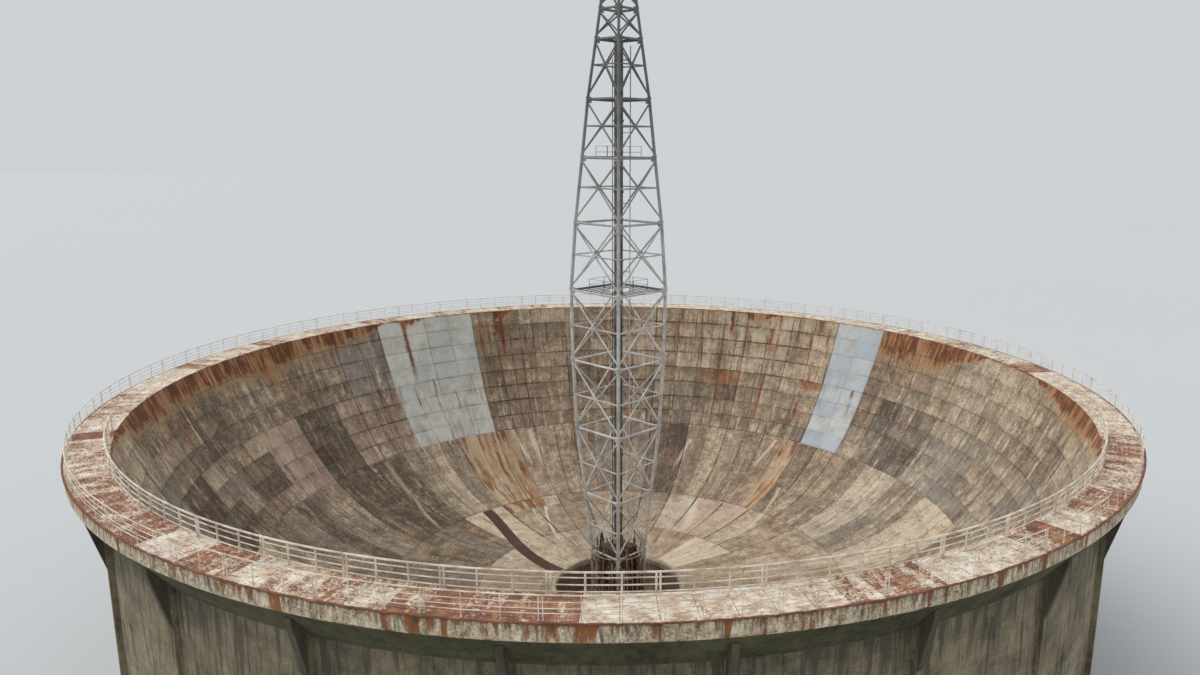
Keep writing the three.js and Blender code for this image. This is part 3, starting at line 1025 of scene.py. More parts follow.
@dataclass(frozen=True)
class WornPaint(Finish):
    """Old brushed paint on steel: chalky, with rust where water stands."""

    pale: str
    dirty: str
    rust: str = "#7a4a30"
    rust_share: float = 0.0
    scale: float = 3.0

    def paint(self, tree: Tree) -> Look:
        """Mixes clean and dirty paint, with rust spots by noise.

        Args:
            tree: The material's node tree.

        Returns:
            The paint's look.
        """
        place = add(tree, Kind.PLACE)
        soil = add(tree, Kind.NOISE, place, self.scale, 6.0, 0.6)
        spot = add(tree, Kind.NOISE, place, self.scale * 2.2, 5.0, 0.7)
        level = add(tree, Kind.RANGE, soil, 0.35, 0.62)
        base = add(tree, Kind.BLEND, level, linear(self.dirty), linear(self.pale))
        rusty = add(tree, Kind.RANGE, spot, 0.64 - self.rust_share, 0.7 - self.rust_share)
        colour = add(tree, Kind.BLEND, rusty, base, linear(self.rust))
        return Look(colour, add(tree, Kind.RANGE, spot, 0.3, 0.7, 0.5, 0.85), spot, 0.002)


@dataclass(frozen=True)
class GalvanisedSteel(Finish):
    """Hot-dip galvanised tube, long weathered: chalky grey zinc with darker, damp-stained runs."""

    pale: str = "#e4e3df"
    dull: str = "#b7b6b3"
    stain: str = "#584a3c"
    # Colour of the painted shade that darkens the upper half.
    soot: str = "#505151"

    def metallic(self) -> float:
        """Zinc that has turned chalky hardly mirrors anything."""
        return 0.1

    def paint(self, tree: Tree) -> Look:
        """Mixes zinc tones with stains that thicken towards the foot, and painted shade towards the top.

        Args:
            tree: The material's node tree.

        Returns:
            The steel's look.
        """
        place = add(tree, Kind.PLACE)
        height = add(tree, Kind.Z, place)
        # Patches of 400 mm and spots of 70 mm.
        soil = add(tree, Kind.NOISE, place, 2.4, 6.0, 0.6)
        spot = add(tree, Kind.NOISE, place, 14.0, 5.0, 0.7)
        level = add(tree, Kind.RANGE, soil, 0.36, 0.62)
        base = add(tree, Kind.BLEND, level, linear(self.dull), linear(self.pale))
        # Painted shade: darker towards the top, where the upper frames are seen dark against the sky.
        upper_painted_shade = add(tree, Kind.RANGE, height, 11.5, 19.5, 0.0, 0.85)
        base = add(tree, Kind.BLEND, upper_painted_shade, base, linear(self.soot))
        low = add(tree, Kind.RANGE, height, 1.2, 4.8, 0.22, 0.0)
        damp = add(tree, Kind.RANGE, add(tree, Kind.SUM, spot, low), 0.6, 0.72, 0.0, 0.8)
        colour = add(tree, Kind.BLEND, damp, base, linear(self.stain))
        return Look(colour, add(tree, Kind.RANGE, spot, 0.3, 0.7, 0.5, 0.75), spot, 0.001)


@dataclass(frozen=True)
class StudioFloor(Finish):
    """Plain pale painted floor: matt and almost even."""

    dark: str = "#c9cbcc"
    pale: str = "#cbcdce"

    def paint(self, tree: Tree) -> Look:
        """A barely visible unevenness, 50 m wide, keeps the floor from looking cut out.

        Args:
            tree: The material's node tree.

        Returns:
            The floor's look.
        """
        soft = add(tree, Kind.NOISE, add(tree, Kind.PLACE), 0.02, 2.0)
        colour = add(tree, Kind.BLEND, soft, linear(self.dark), linear(self.pale))
        return Look(colour, add(tree, Kind.RANGE, soft, 0.0, 1.0, 0.9, 0.95), soft, 0.001)


# Bowl

# Stretches of the bowl's face whose panels differ from the rest: bearings from and to, distances
# down from the lip from and to, tone, tint (blue below 0, pink above), pale coat, scattered rust runs.
AREAS = (
    # Upper band: pale coats, darker and pinker panels, and the tan far side.
    (137.0, 180.0, 0.0, 3.2, 1.3, 0.1, 0.0, 0.5),
    (-180.0, -177.0, 0.0, 3.2, 1.3, 0.1, 0.0, 0.5),
    (137.0, 180.0, 3.2, 6.4, -0.2, 0.0, 0.0, 0.3),
    (-177.0, -151.5, 0.0, 0.8, 0.5, 0.2, 0.0, 0.4),
    (-180.0, -151.5, 0.8, 6.4, -0.2, 0.2, 0.0, 0.4),
    (-171.0, -160.5, 0.0, 0.8, 1.6, -0.2, 0.0, 0.0),
    (-151.5, -133.5, 0.0, 3.2, 0.6, -0.1, 1.0, 0.0),
    (-151.5, -133.5, 3.2, 6.4, 0.8, 0.0, 0.9, 0.3),
    (-133.5, -124.5, 0.0, 3.2, 0.2, -0.7, 0.0, 0.0),
    (-133.5, -119.0, 3.2, 6.4, 0.4, 0.45, 0.0, 0.0),
    (-124.5, -82.0, 0.0, 3.2, -0.6, 0.0, 0.0, 0.3),
    (-119.0, -108.0, 3.1, 6.4, -2.3, -0.2, 0.0, 0.0),
    (-110.0, -101.5, 3.1, 6.4, 1.7, 1.0, 0.0, 0.0),
    (-101.0, -91.5, 3.9, 5.6, -1.4, 0.0, 0.0, 0.0),
    (-94.5, -83.0, 2.3, 3.2, -1.4, 0.0, 0.0, 0.0),
    (-82.5, -73.5, 3.1, 6.4, -2.2, -0.1, 0.0, 0.0),
    (-73.0, -63.0, 0.0, 2.4, 0.6, 0.0, 0.0, 0.0),
    (-73.0, -42.0, 2.4, 6.4, 0.0, -0.5, 0.0, 0.0),
    (127.5, 136.5, 0.0, 6.4, 0.4, -0.6, 1.0, 0.0),
    (109.5, 127.5, 0.0, 3.2, 0.0, 0.0, 0.0, 0.0),
    (109.5, 123.0, 3.1, 6.4, -1.6, -0.2, 0.0, 0.0),
    (91.5, 109.5, 0.0, 3.2, 1.3, -0.1, 0.0, 0.0),
    (91.5, 109.5, 3.2, 6.4, 0.6, -0.4, 0.0, 0.0),
    (73.5, 91.5, 0.0, 3.2, 0.0, 0.0, 0.0, 0.0),
    (73.5, 91.5, 3.2, 6.4, 0.5, -0.3, 0.0, 0.0),
    (48.0, 73.5, 0.0, 3.2, 0.5, 0.0, 0.0, 0.0),
    # Middle band: long strips of very different age.
    (-171.0, -162.5, 6.4, 11.5, -0.6, 0.0, 0.0, 0.0),
    (-162.5, -154.5, 6.4, 11.5, 1.0, 0.1, 0.0, 0.3),
    (-155.0, -141.0, 6.4, 11.5, 2.0, 0.6, 0.0, 0.9),
    (-141.5, -136.0, 6.4, 11.5, 0.2, -0.2, 0.0, 0.0),
    (-136.5, -127.5, 6.4, 11.5, 1.7, 0.1, 0.0, 0.0),
    (-128.0, -109.0, 6.4, 11.5, -1.8, -0.1, 0.0, 0.0),
    (-109.5, -100.0, 6.4, 11.5, 0.4, 0.0, 0.0, 0.0),
    (-100.5, -82.0, 6.4, 11.5, -1.2, 0.0, 0.0, 0.0),
    (160.5, 171.0, 6.4, 11.5, -2.0, 0.2, 0.0, 0.0),
    (151.0, 160.5, 6.4, 11.5, 0.2, 0.1, 0.0, 0.0),
    (142.5, 151.5, 6.4, 11.5, -0.7, 0.0, 0.0, 0.0),
    (136.0, 142.5, 6.4, 11.5, 1.5, 0.4, 0.0, 0.9),
    (129.0, 136.5, 6.4, 11.5, 0.2, 0.0, 0.0, 0.0),
    (119.5, 129.0, 6.4, 11.5, -1.9, 0.1, 0.0, 0.0),
    (93.0, 120.0, 6.4, 11.5, 0.1, -0.25, 0.0, 0.0),
    # Lower ring and floor.
    (-130.0, -77.0, 11.0, 14.4, -1.8, -0.1, 0.0, 0.0),
    (-141.0, -130.0, 11.0, 14.4, 0.9, 0.0, 0.0, 0.0),
    (136.0, 154.0, 11.0, 14.4, 1.4, 0.8, 0.0, 0.0),
    (109.0, 136.0, 11.0, 14.4, 0.4, 0.0, 0.0, 0.0),
    (154.0, 163.0, 11.0, 14.4, 1.0, -0.5, 0.0, 0.0),
    (118.0, 139.0, 14.4, 17.3, 2.6, 0.1, 0.0, 0.0),
)

# Depth of the rust band under the lip, in metres, by bearing.
RUST_REACH = (
    *((-180.0, 0.06), (-159.2, 0.06), (-156.8, 0.9), (-154.3, 0.06), (-140.7, 0.06), (-139.2, 0.9)),
    *((-137.3, 0.06), (-133.7, 0.06), (-133.3, 0.5), (-129.0, 0.5), (-125.1, 0.75), (-118.4, 0.6)),
    *((-113.0, 1.1), (-106.7, 1.0), (-97.0, 0.75), (-92.2, 0.8), (-77.7, 0.8), (-71.0, 0.3)),
    *((-60.5, 0.1), (49.8, 0.1), (60.0, 0.2), (68.0, 0.45), (78.0, 0.75), (86.0, 0.6), (88.5, 0.2)),
    *((90.5, 0.5), (92.0, 0.1), (106.0, 0.1), (109.5, 0.6), (114.5, 1.1), (120.0, 1.3)),
    *((127.51, 1.2), (127.54, 0.06), (149.1, 0.08), (151.1, 0.4), (153.1, 0.08), (156.1, 0.9)),
    *((158.1, 0.08), (180.0, 0.06)),
)

# Rust streaks that show from the rim: bearing at the top, how far it leans by the foot in
# degrees, distance of top and foot from the lip, half width in metres, strength.
RUST_STREAKS = (
    (221.6, 0.0, 0.0, 3.4, 0.12, 0.95),
    (202.9, 0.0, 0.0, 3.2, 0.13, 0.95),
    (203.7, 0.0, 0.55, 1.6, 0.5, 0.8),
    (201.4, 0.0, 3.2, 4.5, 0.1, 0.7),
    (157.5, 0.0, 0.0, 1.6, 0.14, 0.95),
    (167.4, 0.0, 0.0, 1.0, 0.12, 0.8),
    (149.4, 0.0, 0.8, 2.1, 0.14, 0.85),
    (158.3, 0.0, 3.2, 4.1, 1.4, 0.6),
    (149.4, 0.0, 3.6, 6.3, 0.1, 0.85),
    (140.6, 0.0, 3.9, 5.8, 0.1, 0.85),
    (139.1, 0.0, 3.2, 3.7, 0.8, 0.8),
    (139.9, 0.0, 0.0, 1.0, 0.25, 0.75),
    (129.7, 0.0, 3.2, 3.7, 0.1, 0.8),
    (129.4, 0.0, 3.8, 4.8, 0.09, 0.4),
)

# Lime streaks down the strips and the slabs, in the same terms.
LIME_STREAKS = (
    (204.8, -2.3, 6.4, 8.7, 0.1, 0.8),
    (200.8, -1.0, 6.5, 9.1, 0.12, 0.75),
    (235.7, 0.8, 6.5, 9.2, 0.13, 0.4),
    (236.4, 4.4, 8.8, 11.3, 0.1, 0.45),
    (142.2, 2.8, 6.5, 8.5, 0.08, 0.65),
    (136.8, 1.7, 6.3, 8.8, 0.08, 0.6),
    (162.5, 2.7, 7.2, 9.3, 0.1, 0.6),
    (134.5, -7.7, 9.1, 14.0, 0.1, 0.6),
    (204.0, 12.0, 11.3, 16.5, 0.06, 0.95),
    (206.8, 5.2, 10.0, 13.3, 0.05, 0.7),
    (155.2, -7.7, 11.3, 14.8, 0.22, 0.6),
)


@dataclass
class BowlBand:
    """One band of the bowl's lining, a quarter at a time: raised panels with open joints.

    Each entry of `rows` is a distance down from the lip; `panel_rows` numbers the panel that
    each step between them belongs to, and `spans` gives the width of each panel row's panels
    in columns of 4.5 degrees.
    """

    name: str
    slot: str
    rows: tuple[float, ...]
    panel_rows: tuple[int, ...]
    spans: tuple[int, ...]
    around: float
    finish: Material
    seed: int
    spread: float
    half_joint: float = 0.018
    edge: float = 0.02
    relief: tuple[float, ...] = (0.004, 0.007, 0.01)
    thickness: float = 0.19
    # A face smaller than this, in square metres, is part of a joint.
    joint_area: float = 0.03

    def build(self) -> None:
        """Builds the four quarters of the band."""
        joints = (-HALF_QUARTER - MODULE_SHIFT + COLUMN_DEG * i for i in range(COLUMNS // 4))
        first, *inner, last = self.rows
        slopes = (first, first + self.edge, *inner, last - self.edge, last)
        section = [(radius_at(s), bowl_height(radius_at(s))) for s in slopes]
        front = ring(section, [-HALF_QUARTER, *joints, HALF_QUARTER])
        self.face_air(front)
        self.cut_joints(front)
        for side, piece in quarters(front).items():
            give_wall(piece, self.thickness)
            self.mark(piece, side)
            name = f"{self.name}_{side.word}"
            hand_in(piece, f"{name}_panels", [self.finish], [name], 20.0)

    def face_air(self, piece: Piece) -> None:
        """Turns the faces towards the air in the bowl.

        Args:
            piece: The front quarter of the band.
        """
        with editing(piece):
            bpy.ops.mesh.normals_make_consistent(inside=False)
        face = piece.data.polygons[0]
        inward = Vector((-face.center.x, -face.center.y, face.center.length))
        if face.normal.dot(inward) < 0:
            with editing(piece):
                bpy.ops.mesh.flip_normals()

    def panels_of(self, piece: Piece, middle: float) -> tuple[Array, Array, Array, Array]:
        """Finds which panel each face lies in.

        Args:
            piece: A quarter of the band.
            middle: The bearing of its middle.

        Returns:
            Each face's bearing, its distance down from the lip, its panel row and its panel column.
        """
        centre = read(piece.data.polygons, "center", 3)
        bearing = bearings_of(centre, middle)
        slope = slope_at(away_of(centre))
        step = np.clip(np.searchsorted(np.array(self.rows), slope) - 1, 0, len(self.rows) - 2)
        row = np.array(self.panel_rows)[step]
        column = np.floor((bearing + MODULE_SHIFT) / COLUMN_DEG).astype(int)
        return bearing, slope, row, column // np.array(self.spans)[row]

    def cut_joints(self, piece: Piece) -> None:
        """Raises each panel a little between its joints, by one of a few heights.

        Args:
            piece: The front quarter of the band.
        """
        _, slope, row, column = self.panels_of(piece, Side.FRONT.value)
        on_face = (slope > self.rows[0] + self.edge) & (slope < self.rows[-1] - self.edge)
        pickings = random.Random(self.seed)
        lots = {key: pickings.randrange(len(self.relief)) for key in sorted(set(zip(row, column)))}
        lot = np.array([lots[key] for key in zip(row, column)])
        # Panels that touch are raised in different rounds, so that each keeps its own joint.
        for odd_row, odd_column, pick_lot in np.ndindex(2, 2, len(self.relief)):
            wanted = on_face & (row % 2 == odd_row) & (column % 2 == odd_column) & (lot == pick_lot)
            with editing(piece, lambda face: face.index < len(wanted) and bool(wanted[face.index])):
                bpy.ops.mesh.inset(
                    thickness=self.half_joint,
                    depth=self.relief[pick_lot],
                    use_individual=False,
                    use_boundary=False,
                )

    def mark(self, piece: Piece, side: Side) -> None:
        """Writes each panel's tone, tint, patches, rust and joints on the piece.

        Args:
            piece: A quarter of the band.
            side: Which quarter it is.
        """
        # Counted from the front all the way round, so that the map's only break is at -45 degrees.
        lay_map(piece, side.value % 360, self.around, lambda radius, height: slope_at(radius))
        bearing, slope, row, column = self.panels_of(piece, side.value)
        chance = np.random.default_rng(self.seed)
        single = chance.normal(0.0, self.spread, (COLUMNS, 8))
        block_of_four = chance.normal(0.0, self.spread * 0.8, (COLUMNS // 2, 4))
        strip = chance.normal(0.0, self.spread * 0.6, COLUMNS // 2)
        hue = chance.normal(0.0, 0.2, (COLUMNS, 8))
        # A panel that two quarters share has one number in both.
        column = column % (COLUMNS // np.array(self.spans)[row])
        tone = single[column, row] + block_of_four[column // 2, row // 2] + strip[column // 2]
        tint = hue[column, row]
        patch = np.zeros(len(bearing))
        run = np.clip(chance.normal(0.0, 0.25, COLUMNS), 0, 1)[column]
        turned = wrapped(bearing)
        for start, end, top, foot, area_tone, area_tint, coat, runs in AREAS:
            inside = (turned > start) & (turned < end) & (slope > top) & (slope < foot)
            tone[inside] = area_tone + 0.6 * tone[inside]
            tint[inside] = area_tint + 0.8 * tint[inside]
            patch[inside] = coat
            run[inside] = runs
        # Joints show most on the far wall, and least where coats and dirt have closed them.
        lines = np.interp(np.abs(turned), (100.0, 124.0, 137.0), (0.3, 0.55, 1.0))
        joint = self.joint_depth(piece, bearing, slope, patch) * (0.3 + 0.7 * lines)
        write_values(piece, "FACE", tone=tone, tint=tint, patch=patch, run=run, lines=lines, joint=joint)
        points = read(piece.data.vertices, "co", 3)
        reach = np.interp(wrapped(bearings_of(points, side.value)), *np.transpose(RUST_REACH))
        write_values(piece, "POINT", rust=1 - slope_at(away_of(points)) / (2 * reach))

    def joint_depth(self, piece: Piece, bearing: Array, slope: Array, patch: Array) -> Array:
        """How dark each face is as a joint: main joints most, coated ones least, panels not at all.

        Args:
            piece: A quarter of the band.
            bearing: Each face's bearing.
            slope: Its distance down from the lip.
            patch: Its pale coat.

        Returns:
            A number from 0 to 1 for each face.
        """
        module = np.abs(((bearing + MODULE_SHIFT) / MODULE_DEG + 0.5) % 1 - 0.5) * MODULE_DEG
        main = (module < 0.25) | (np.abs(slope - MODULE_FOOT) < 0.05)
        depth = np.where(main, 0.95, 0.6) * np.where(patch > 0, 0.35, 1.0)
        return np.where(read(piece.data.polygons, "area", 1)[:, 0] < self.joint_area, depth, 0.0)


# Rim

# Stretches of the deck by bearing, and how much more paint than rust they keep.
DECK_PAINT = (
    *((-62.0, -47.4, 0.08), (-47.4, -37.4, -0.05), (-37.4, -32.4, 0.13), (-32.4, -27.4, 0.04)),
    *((-27.4, -19.9, 0.2), (-19.9, -14.9, 0.13), (-14.9, -12.4, 0.03), (-12.4, -2.4, -0.1)),
    *((-2.4, 5.1, 0.23), (5.1, 12.6, 0.18), (12.6, 17.6, 0.12), (17.6, 22.6, 0.0)),
    *((22.6, 32.6, 0.18), (32.6, 37.6, -0.05), (37.6, 42.6, 0.18), (42.6, 60.0, 0.04)),
)


@dataclass
class RimDeck:
    """Walkway of steel plates round the rim, on the ring beam."""

    finish: Material
    inner: float = 15.859
    outer: float = 17.0
    thick: float = 0.025
    kerb: float = 0.09
    # Half width of a joint, and how far the plates stand above it.
    half_joint: float = 0.007
    raised: float = 0.004
    # Faces smaller than this, in square metres, and between these radii are joints.
    joint_area: float = 0.02
    joint_from: float = 15.96
    joint_to: float = 16.9
    # Bearing of a quarter's first joint, and how far a joint lies from the quarter's middle.
    first_joint: float = -42.4
    shift: float = 2.4
    seed: int = 31

    def build(self) -> None:
        """Builds the deck's four quarters with their plate joints."""
        low = DECK - self.thick
        sunk = DECK - self.raised
        section = [
            (self.inner, DECK),
            (self.inner, low),
            (self.outer, low),
            (self.outer, sunk),
            (self.outer - self.kerb, sunk),
            (self.inner + self.kerb, sunk),
            (self.inner, DECK),
        ]
        joints = (self.first_joint + PLATE_DEG * i for i in range(PLATES // 4 - 1))
        front = ring(section, [-HALF_QUARTER, *joints, HALF_QUARTER])
        close_ends(front)
        with editing(front, lambda face: face.normal.z > 0.9 and face.area > 0.2):
            bpy.ops.mesh.inset(thickness=self.half_joint, depth=self.raised, use_individual=True)
        for side, piece in quarters(front).items():
            self.mark(piece, side)
            name = f"deck_{side.word}"
            hand_in(piece, f"{name}_plates", [self.finish], [name], 20.0)

    def mark(self, piece: Piece, side: Side) -> None:
        """Writes how much paint each plate keeps, and where its edges are.

        Args:
            piece: A quarter of the deck.
            side: Which quarter it is.
        """
        lay_map(piece, side.value, MOUTH, lambda radius, height: radius)
        centre = read(piece.data.polygons, "center", 3)
        area = read(piece.data.polygons, "area", 1)[:, 0]
        bearing = wrapped(bearings_of(centre, side.value))
        away = away_of(centre)
        chance = np.random.default_rng(self.seed)
        plate = np.floor((bearing + self.shift) / PLATE_DEG).astype(int) % PLATES
        keep = chance.normal(0.0, 0.11, PLATES)[plate] + chance.normal(0.0, 0.06, PLATES // 3)[plate // 3]
        keep += np.where(np.abs(bearing) > 95, 0.18, 0.12)
        for start, end, share in DECK_PAINT:
            inside = (bearing > start) & (bearing < end)
            keep[inside] = share + 0.5 * (keep[inside] - 0.12)
        joint = (area < self.joint_area) & (away < self.joint_to) & (away > self.joint_from)
        write_values(piece, "FACE", paint=keep, joint=joint.astype(float))


@dataclass
class RingBeam:
    """Concrete beam under the deck: an upright fascia over a soffit that slopes in to the wall."""

    fascia: Material
    soffit: Material
    inner: float = 16.075
    outer: float = 16.96
    drop: float = 0.386
    foot: float = 1.28
    wall: float = 16.26
    top: float = 0.0253
    half_joint: float = 0.008
    sunk: float = 0.004

    def build(self) -> None:
        """Builds the beam's four quarters with a joint at every 2.5 degrees of the fascia."""
        section = [
            (self.inner, DECK - self.top),
            (self.inner, DECK - self.foot),
            (self.wall, DECK - self.foot),
            (self.outer - 0.06, DECK - self.drop - 0.05),
            (self.outer - 0.05, DECK - self.drop),
            (self.outer, DECK - self.drop + 0.01),
            (self.outer, DECK - self.top),
            (self.inner, DECK - self.top),
        ]
        front = ring(section, [-HALF_QUARTER + PLATE_DEG * i for i in range(37)])
        close_ends(front)
        with editing(front, lambda face: abs(face.normal.z) < 0.2 and self.far_out(face, 0.05)):
            bpy.ops.mesh.inset(thickness=self.half_joint, depth=-self.sunk, use_individual=True)
        for side, piece in quarters(front).items():
            lay_map(piece, side.value, MOUTH, lambda radius, height: DECK - height)
            name = f"ring_beam_{side.word}"
            hand_in(piece, f"{name}_cast", [self.fascia, self.soffit], [name], 25.0)
            for face in piece.data.polygons:
                is_fascia = face.normal.z >= -0.2 and self.far_out(face, 0.1)
                face.material_index = (Place.FASCIA if is_fascia else Place.SOFFIT).value

    def far_out(self, face: Face, margin: float) -> bool:
        """Whether a face lies further out than a margin inside the fascia."""
        return math.hypot(face.center.x, face.center.y) > self.outer - margin


@dataclass
class Railing:
    """Tube railing: a top rail, three lower rails and round posts on foot plates."""

    name: str
    node: str
    finish: Material
    radius: float
    start: float
    end: float
    heights: tuple[float, ...]
    height: float = 0.51
    top_rail: float = 0.022
    rail: float = 0.014
    post: float = 0.022
    post_shift: float = 0.25
    # Every third post is a pair, this far apart on either side of its bearing.
    pair: float = 0.14
    # Bearings between which rails from a number down are missing; rail 0 is the top one.
    broken: Table = ()
    least: float = 0.3

    def build(self) -> None:
        """Builds the rails in stretches between their breaks, then the posts."""
        pieces = []
        for number, share in enumerate((1.0, *self.heights)):
            size = self.rail if number else self.top_rail
            level = DECK + share * self.height - (0.0 if number else self.top_rail)
            pieces += [self.bar(level, size, low, high) for low, high in self.stretches(number)]
        first = math.ceil((self.start - self.post_shift) / PLATE_DEG - 1e-6)
        last = math.floor((self.end - self.post_shift) / PLATE_DEG + 1e-6)
        single, double = [], []
        for index in range(first, last + 1):
            bearing = self.post_shift + PLATE_DEG * index
            if index % 3 == 1:
                double += [self.spot(bearing - self.pair), self.spot(bearing + self.pair)]
            else:
                single.append(self.spot(bearing))
        pieces.append(copies(self.upright(), single + double))
        hand_in(joined(pieces), self.name, [self.finish], [self.node], 40.0)

    def stretches(self, number: int) -> list[tuple[float, float]]:
        """Finds where one rail still runs.

        Args:
            number: The rail, counted from the top one.

        Returns:
            The bearings between which it runs.
        """
        parts = [(self.start, self.end)]
        for low, high, first in self.broken:
            if number >= first:
                kept = [end for a, b in parts for end in ((a, min(b, low)), (max(a, high), b))]
                parts = [(a, b) for a, b in kept if b - a > self.least]
        return parts

    def spot(self, bearing: float) -> Matrix:
        """Place of a post at a bearing."""
        turn = Matrix.Rotation(math.radians(bearing), 4, "Z")
        return Matrix.Translation(polar(self.radius, bearing, DECK)) @ turn

    def bar(self, level: float, size: float, low: float, high: float) -> Piece:
        """Spins one rail from bearing to bearing.

        Args:
            level: Its height above the foot.
            size: Its radius.
            low: The bearing at which it starts.
            high: The bearing at which it ends.

        Returns:
            The rail, with its ends closed.
        """
        start_fresh()
        start = polar(self.radius, low, level)
        turn = (0, math.pi / 2, math.radians(low))
        bpy.ops.mesh.primitive_circle_add(vertices=6, radius=size, location=start, rotation=turn)
        piece = bpy.context.object
        steps = max(1, round((high - low) / PLATE_DEG))
        with editing(piece):
            angle = math.radians(low - high)
            bpy.ops.mesh.spin(steps=steps, angle=angle, center=(0, 0, 0), axis=(0, 0, 1))
        close_ends(settle(piece))
        return piece

    def upright(self) -> Piece:
        """Models one post at the origin, with a foot plate twice its width and 12 mm thick.

        Returns:
            The post.
        """
        start_fresh()
        tall = self.height - self.top_rail
        bpy.ops.mesh.primitive_cylinder_add(
            vertices=8, radius=self.post, depth=tall, location=(0, 0, tall / 2)
        )
        piece = settle(bpy.context.object)
        with editing(piece, lambda face: face.normal.z < -0.9):
            bpy.ops.mesh.extrude_region_move(TRANSFORM_OT_translate={"value": (0, 0, 0)})
            bpy.ops.transform.resize(value=(2.0, 2.0, 1.0), center_override=(0, 0, 0))
            bpy.ops.mesh.extrude_region_move(TRANSFORM_OT_translate={"value": (0, 0, 0.012)})
        return piece


# Tower

# Height against the deck and half-diagonal at each frame of the tower.
LEVELS = (
    *((-9.1, 0.92), (-6.46, 0.99), (-4.17, 1.225), (-1.63, 1.506), (0.9, 1.632), (3.45, 1.671)),
    *((5.83, 1.502), (8.06, 1.251), (10.01, 1.043), (11.97, 0.754), (12.94, 0.614), (13.85, 0.482)),
)
# A frame's bars lie this far below its level.
FRAME_DROP = 0.062


def leg_point(side: int, height: float) -> Vector:
    """Point on the axis of a tower leg; the legs stand on the X and Y axes.

    Args:
        side: The leg, counted in quarter turns from the right.
        height: Height against the deck.

    Returns:
        The point.
    """
    half = float(np.interp(height, *np.transpose(LEVELS)))
    turn = side * math.pi / 2
    return Vector((half * math.cos(turn), half * math.sin(turn), DECK + height))


def side_bar(height: float, size: float) -> Piece:
    """Level bar from the first leg to the next."""
    return tube(leg_point(0, height), leg_point(1, height), size)


@dataclass
class LatticeSection:
    """One stretch of the tower: four tube legs, level frames, crossed braces and their plates."""

    name: str
    low: int
    high: int
    finish: Material
    leg: float = 0.06
    frame_bar: float = 0.04
    brace: float = 0.031
    middle_bar: float = 0.024
    # How far the braces' ends stay above and below the frames.
    brace_foot: float = 0.09
    brace_head: float = 0.16
    # Bays taller than this have a middle bar.
    tall: float = 1.2

    def build(self) -> None:
        """Builds one side of every bay and turns it round the tower."""
        sides = [side for level in range(self.low, self.high) for side in quarter_turns(self.bay(level))]
        hand_in(joined(sides), f"{self.name}_lattice", [self.finish], [self.name], 40.0)

    def bay(self, level: int) -> Piece:
        """Builds one side of a bay: its leg, frame bar, braces, middle bar and joint plates.

        Args:
            level: Which of LEVELS it stands on.

        Returns:
            The side between the first two legs.
        """
        bottom = LEVELS[level][0]
        top = LEVELS[level + 1][0]
        foot = bottom + self.brace_foot
        head = top - self.brace_head
        a, b, c, d = (leg_point(side, height) for height in (foot, head) for side in (0, 1))
        frame_height = top - FRAME_DROP
        parts = [
            self.leg_tube(bottom, top, level == 0),
            side_bar(frame_height, self.frame_bar),
            tube(a, d, self.brace),
            tube(b, c, self.brace),
        ]
        share = (b - a).length / ((b - a).length + (d - c).length)
        middle = foot + (top - bottom - self.brace_foot - self.brace_head) * share
        if top - bottom > self.tall:
            parts.append(side_bar(middle, self.middle_bar))
        return joined(parts + self.plates(frame_height, middle))

    def leg_tube(self, bottom: float, top: float, foot: bool) -> Piece:
        """Builds one leg between two frames, with a flange at its top and a collar at its foot.

        Args:
            bottom: Height of the lower frame against the deck.
            top: Height of the upper frame.
            foot: Whether the leg stands on the ground, and so has a foot plate.

        Returns:
            The first leg.
        """
        start = leg_point(0, bottom)
        end = leg_point(0, top)
        up = (end - start).normalized()
        flange = self.leg * 1.3
        parts = [
            tube(start, end, self.leg, 12),
            tube(end - up * 0.04, end, flange, 12),
            tube(start, start + up * 0.03, flange, 12),
        ]
        if foot:
            parts.append(block((0.36, 0.36, 0.05), start + Vector((0, 0, 0.025)), 0.006))
        return joined(parts)

    def plates(self, frame_height: float, middle: float) -> list[Piece]:
        """Builds the plates where the frame meets the legs and where the braces cross.

        Args:
            frame_height: Height of the frame's bar against the deck.
            middle: Height at which the braces cross.

        Returns:
            The three plates of one side.
        """
        made = []
        for height, reach, size in (
            (frame_height - 0.02, 0.12, (0.12, 0.012, 0.2)),
            (frame_height - 0.02, -0.12, (0.12, 0.012, 0.2)),
            (middle, 0.0, (0.15, 0.012, 0.12)),
        ):
            a = leg_point(0, height)
            b = leg_point(1, height)
            along = (b - a).normalized()
            centre = (a + b) / 2
            if reach:
                centre = (a if reach > 0 else b) + along * reach
            turn = Matrix.Rotation(math.atan2(along.y, along.x), 4, "Z")
            plate = block(size, Vector((0, 0, 0)), 0.002)
            made.append(placed(plate, Matrix.Translation(centre) @ turn))
        return made


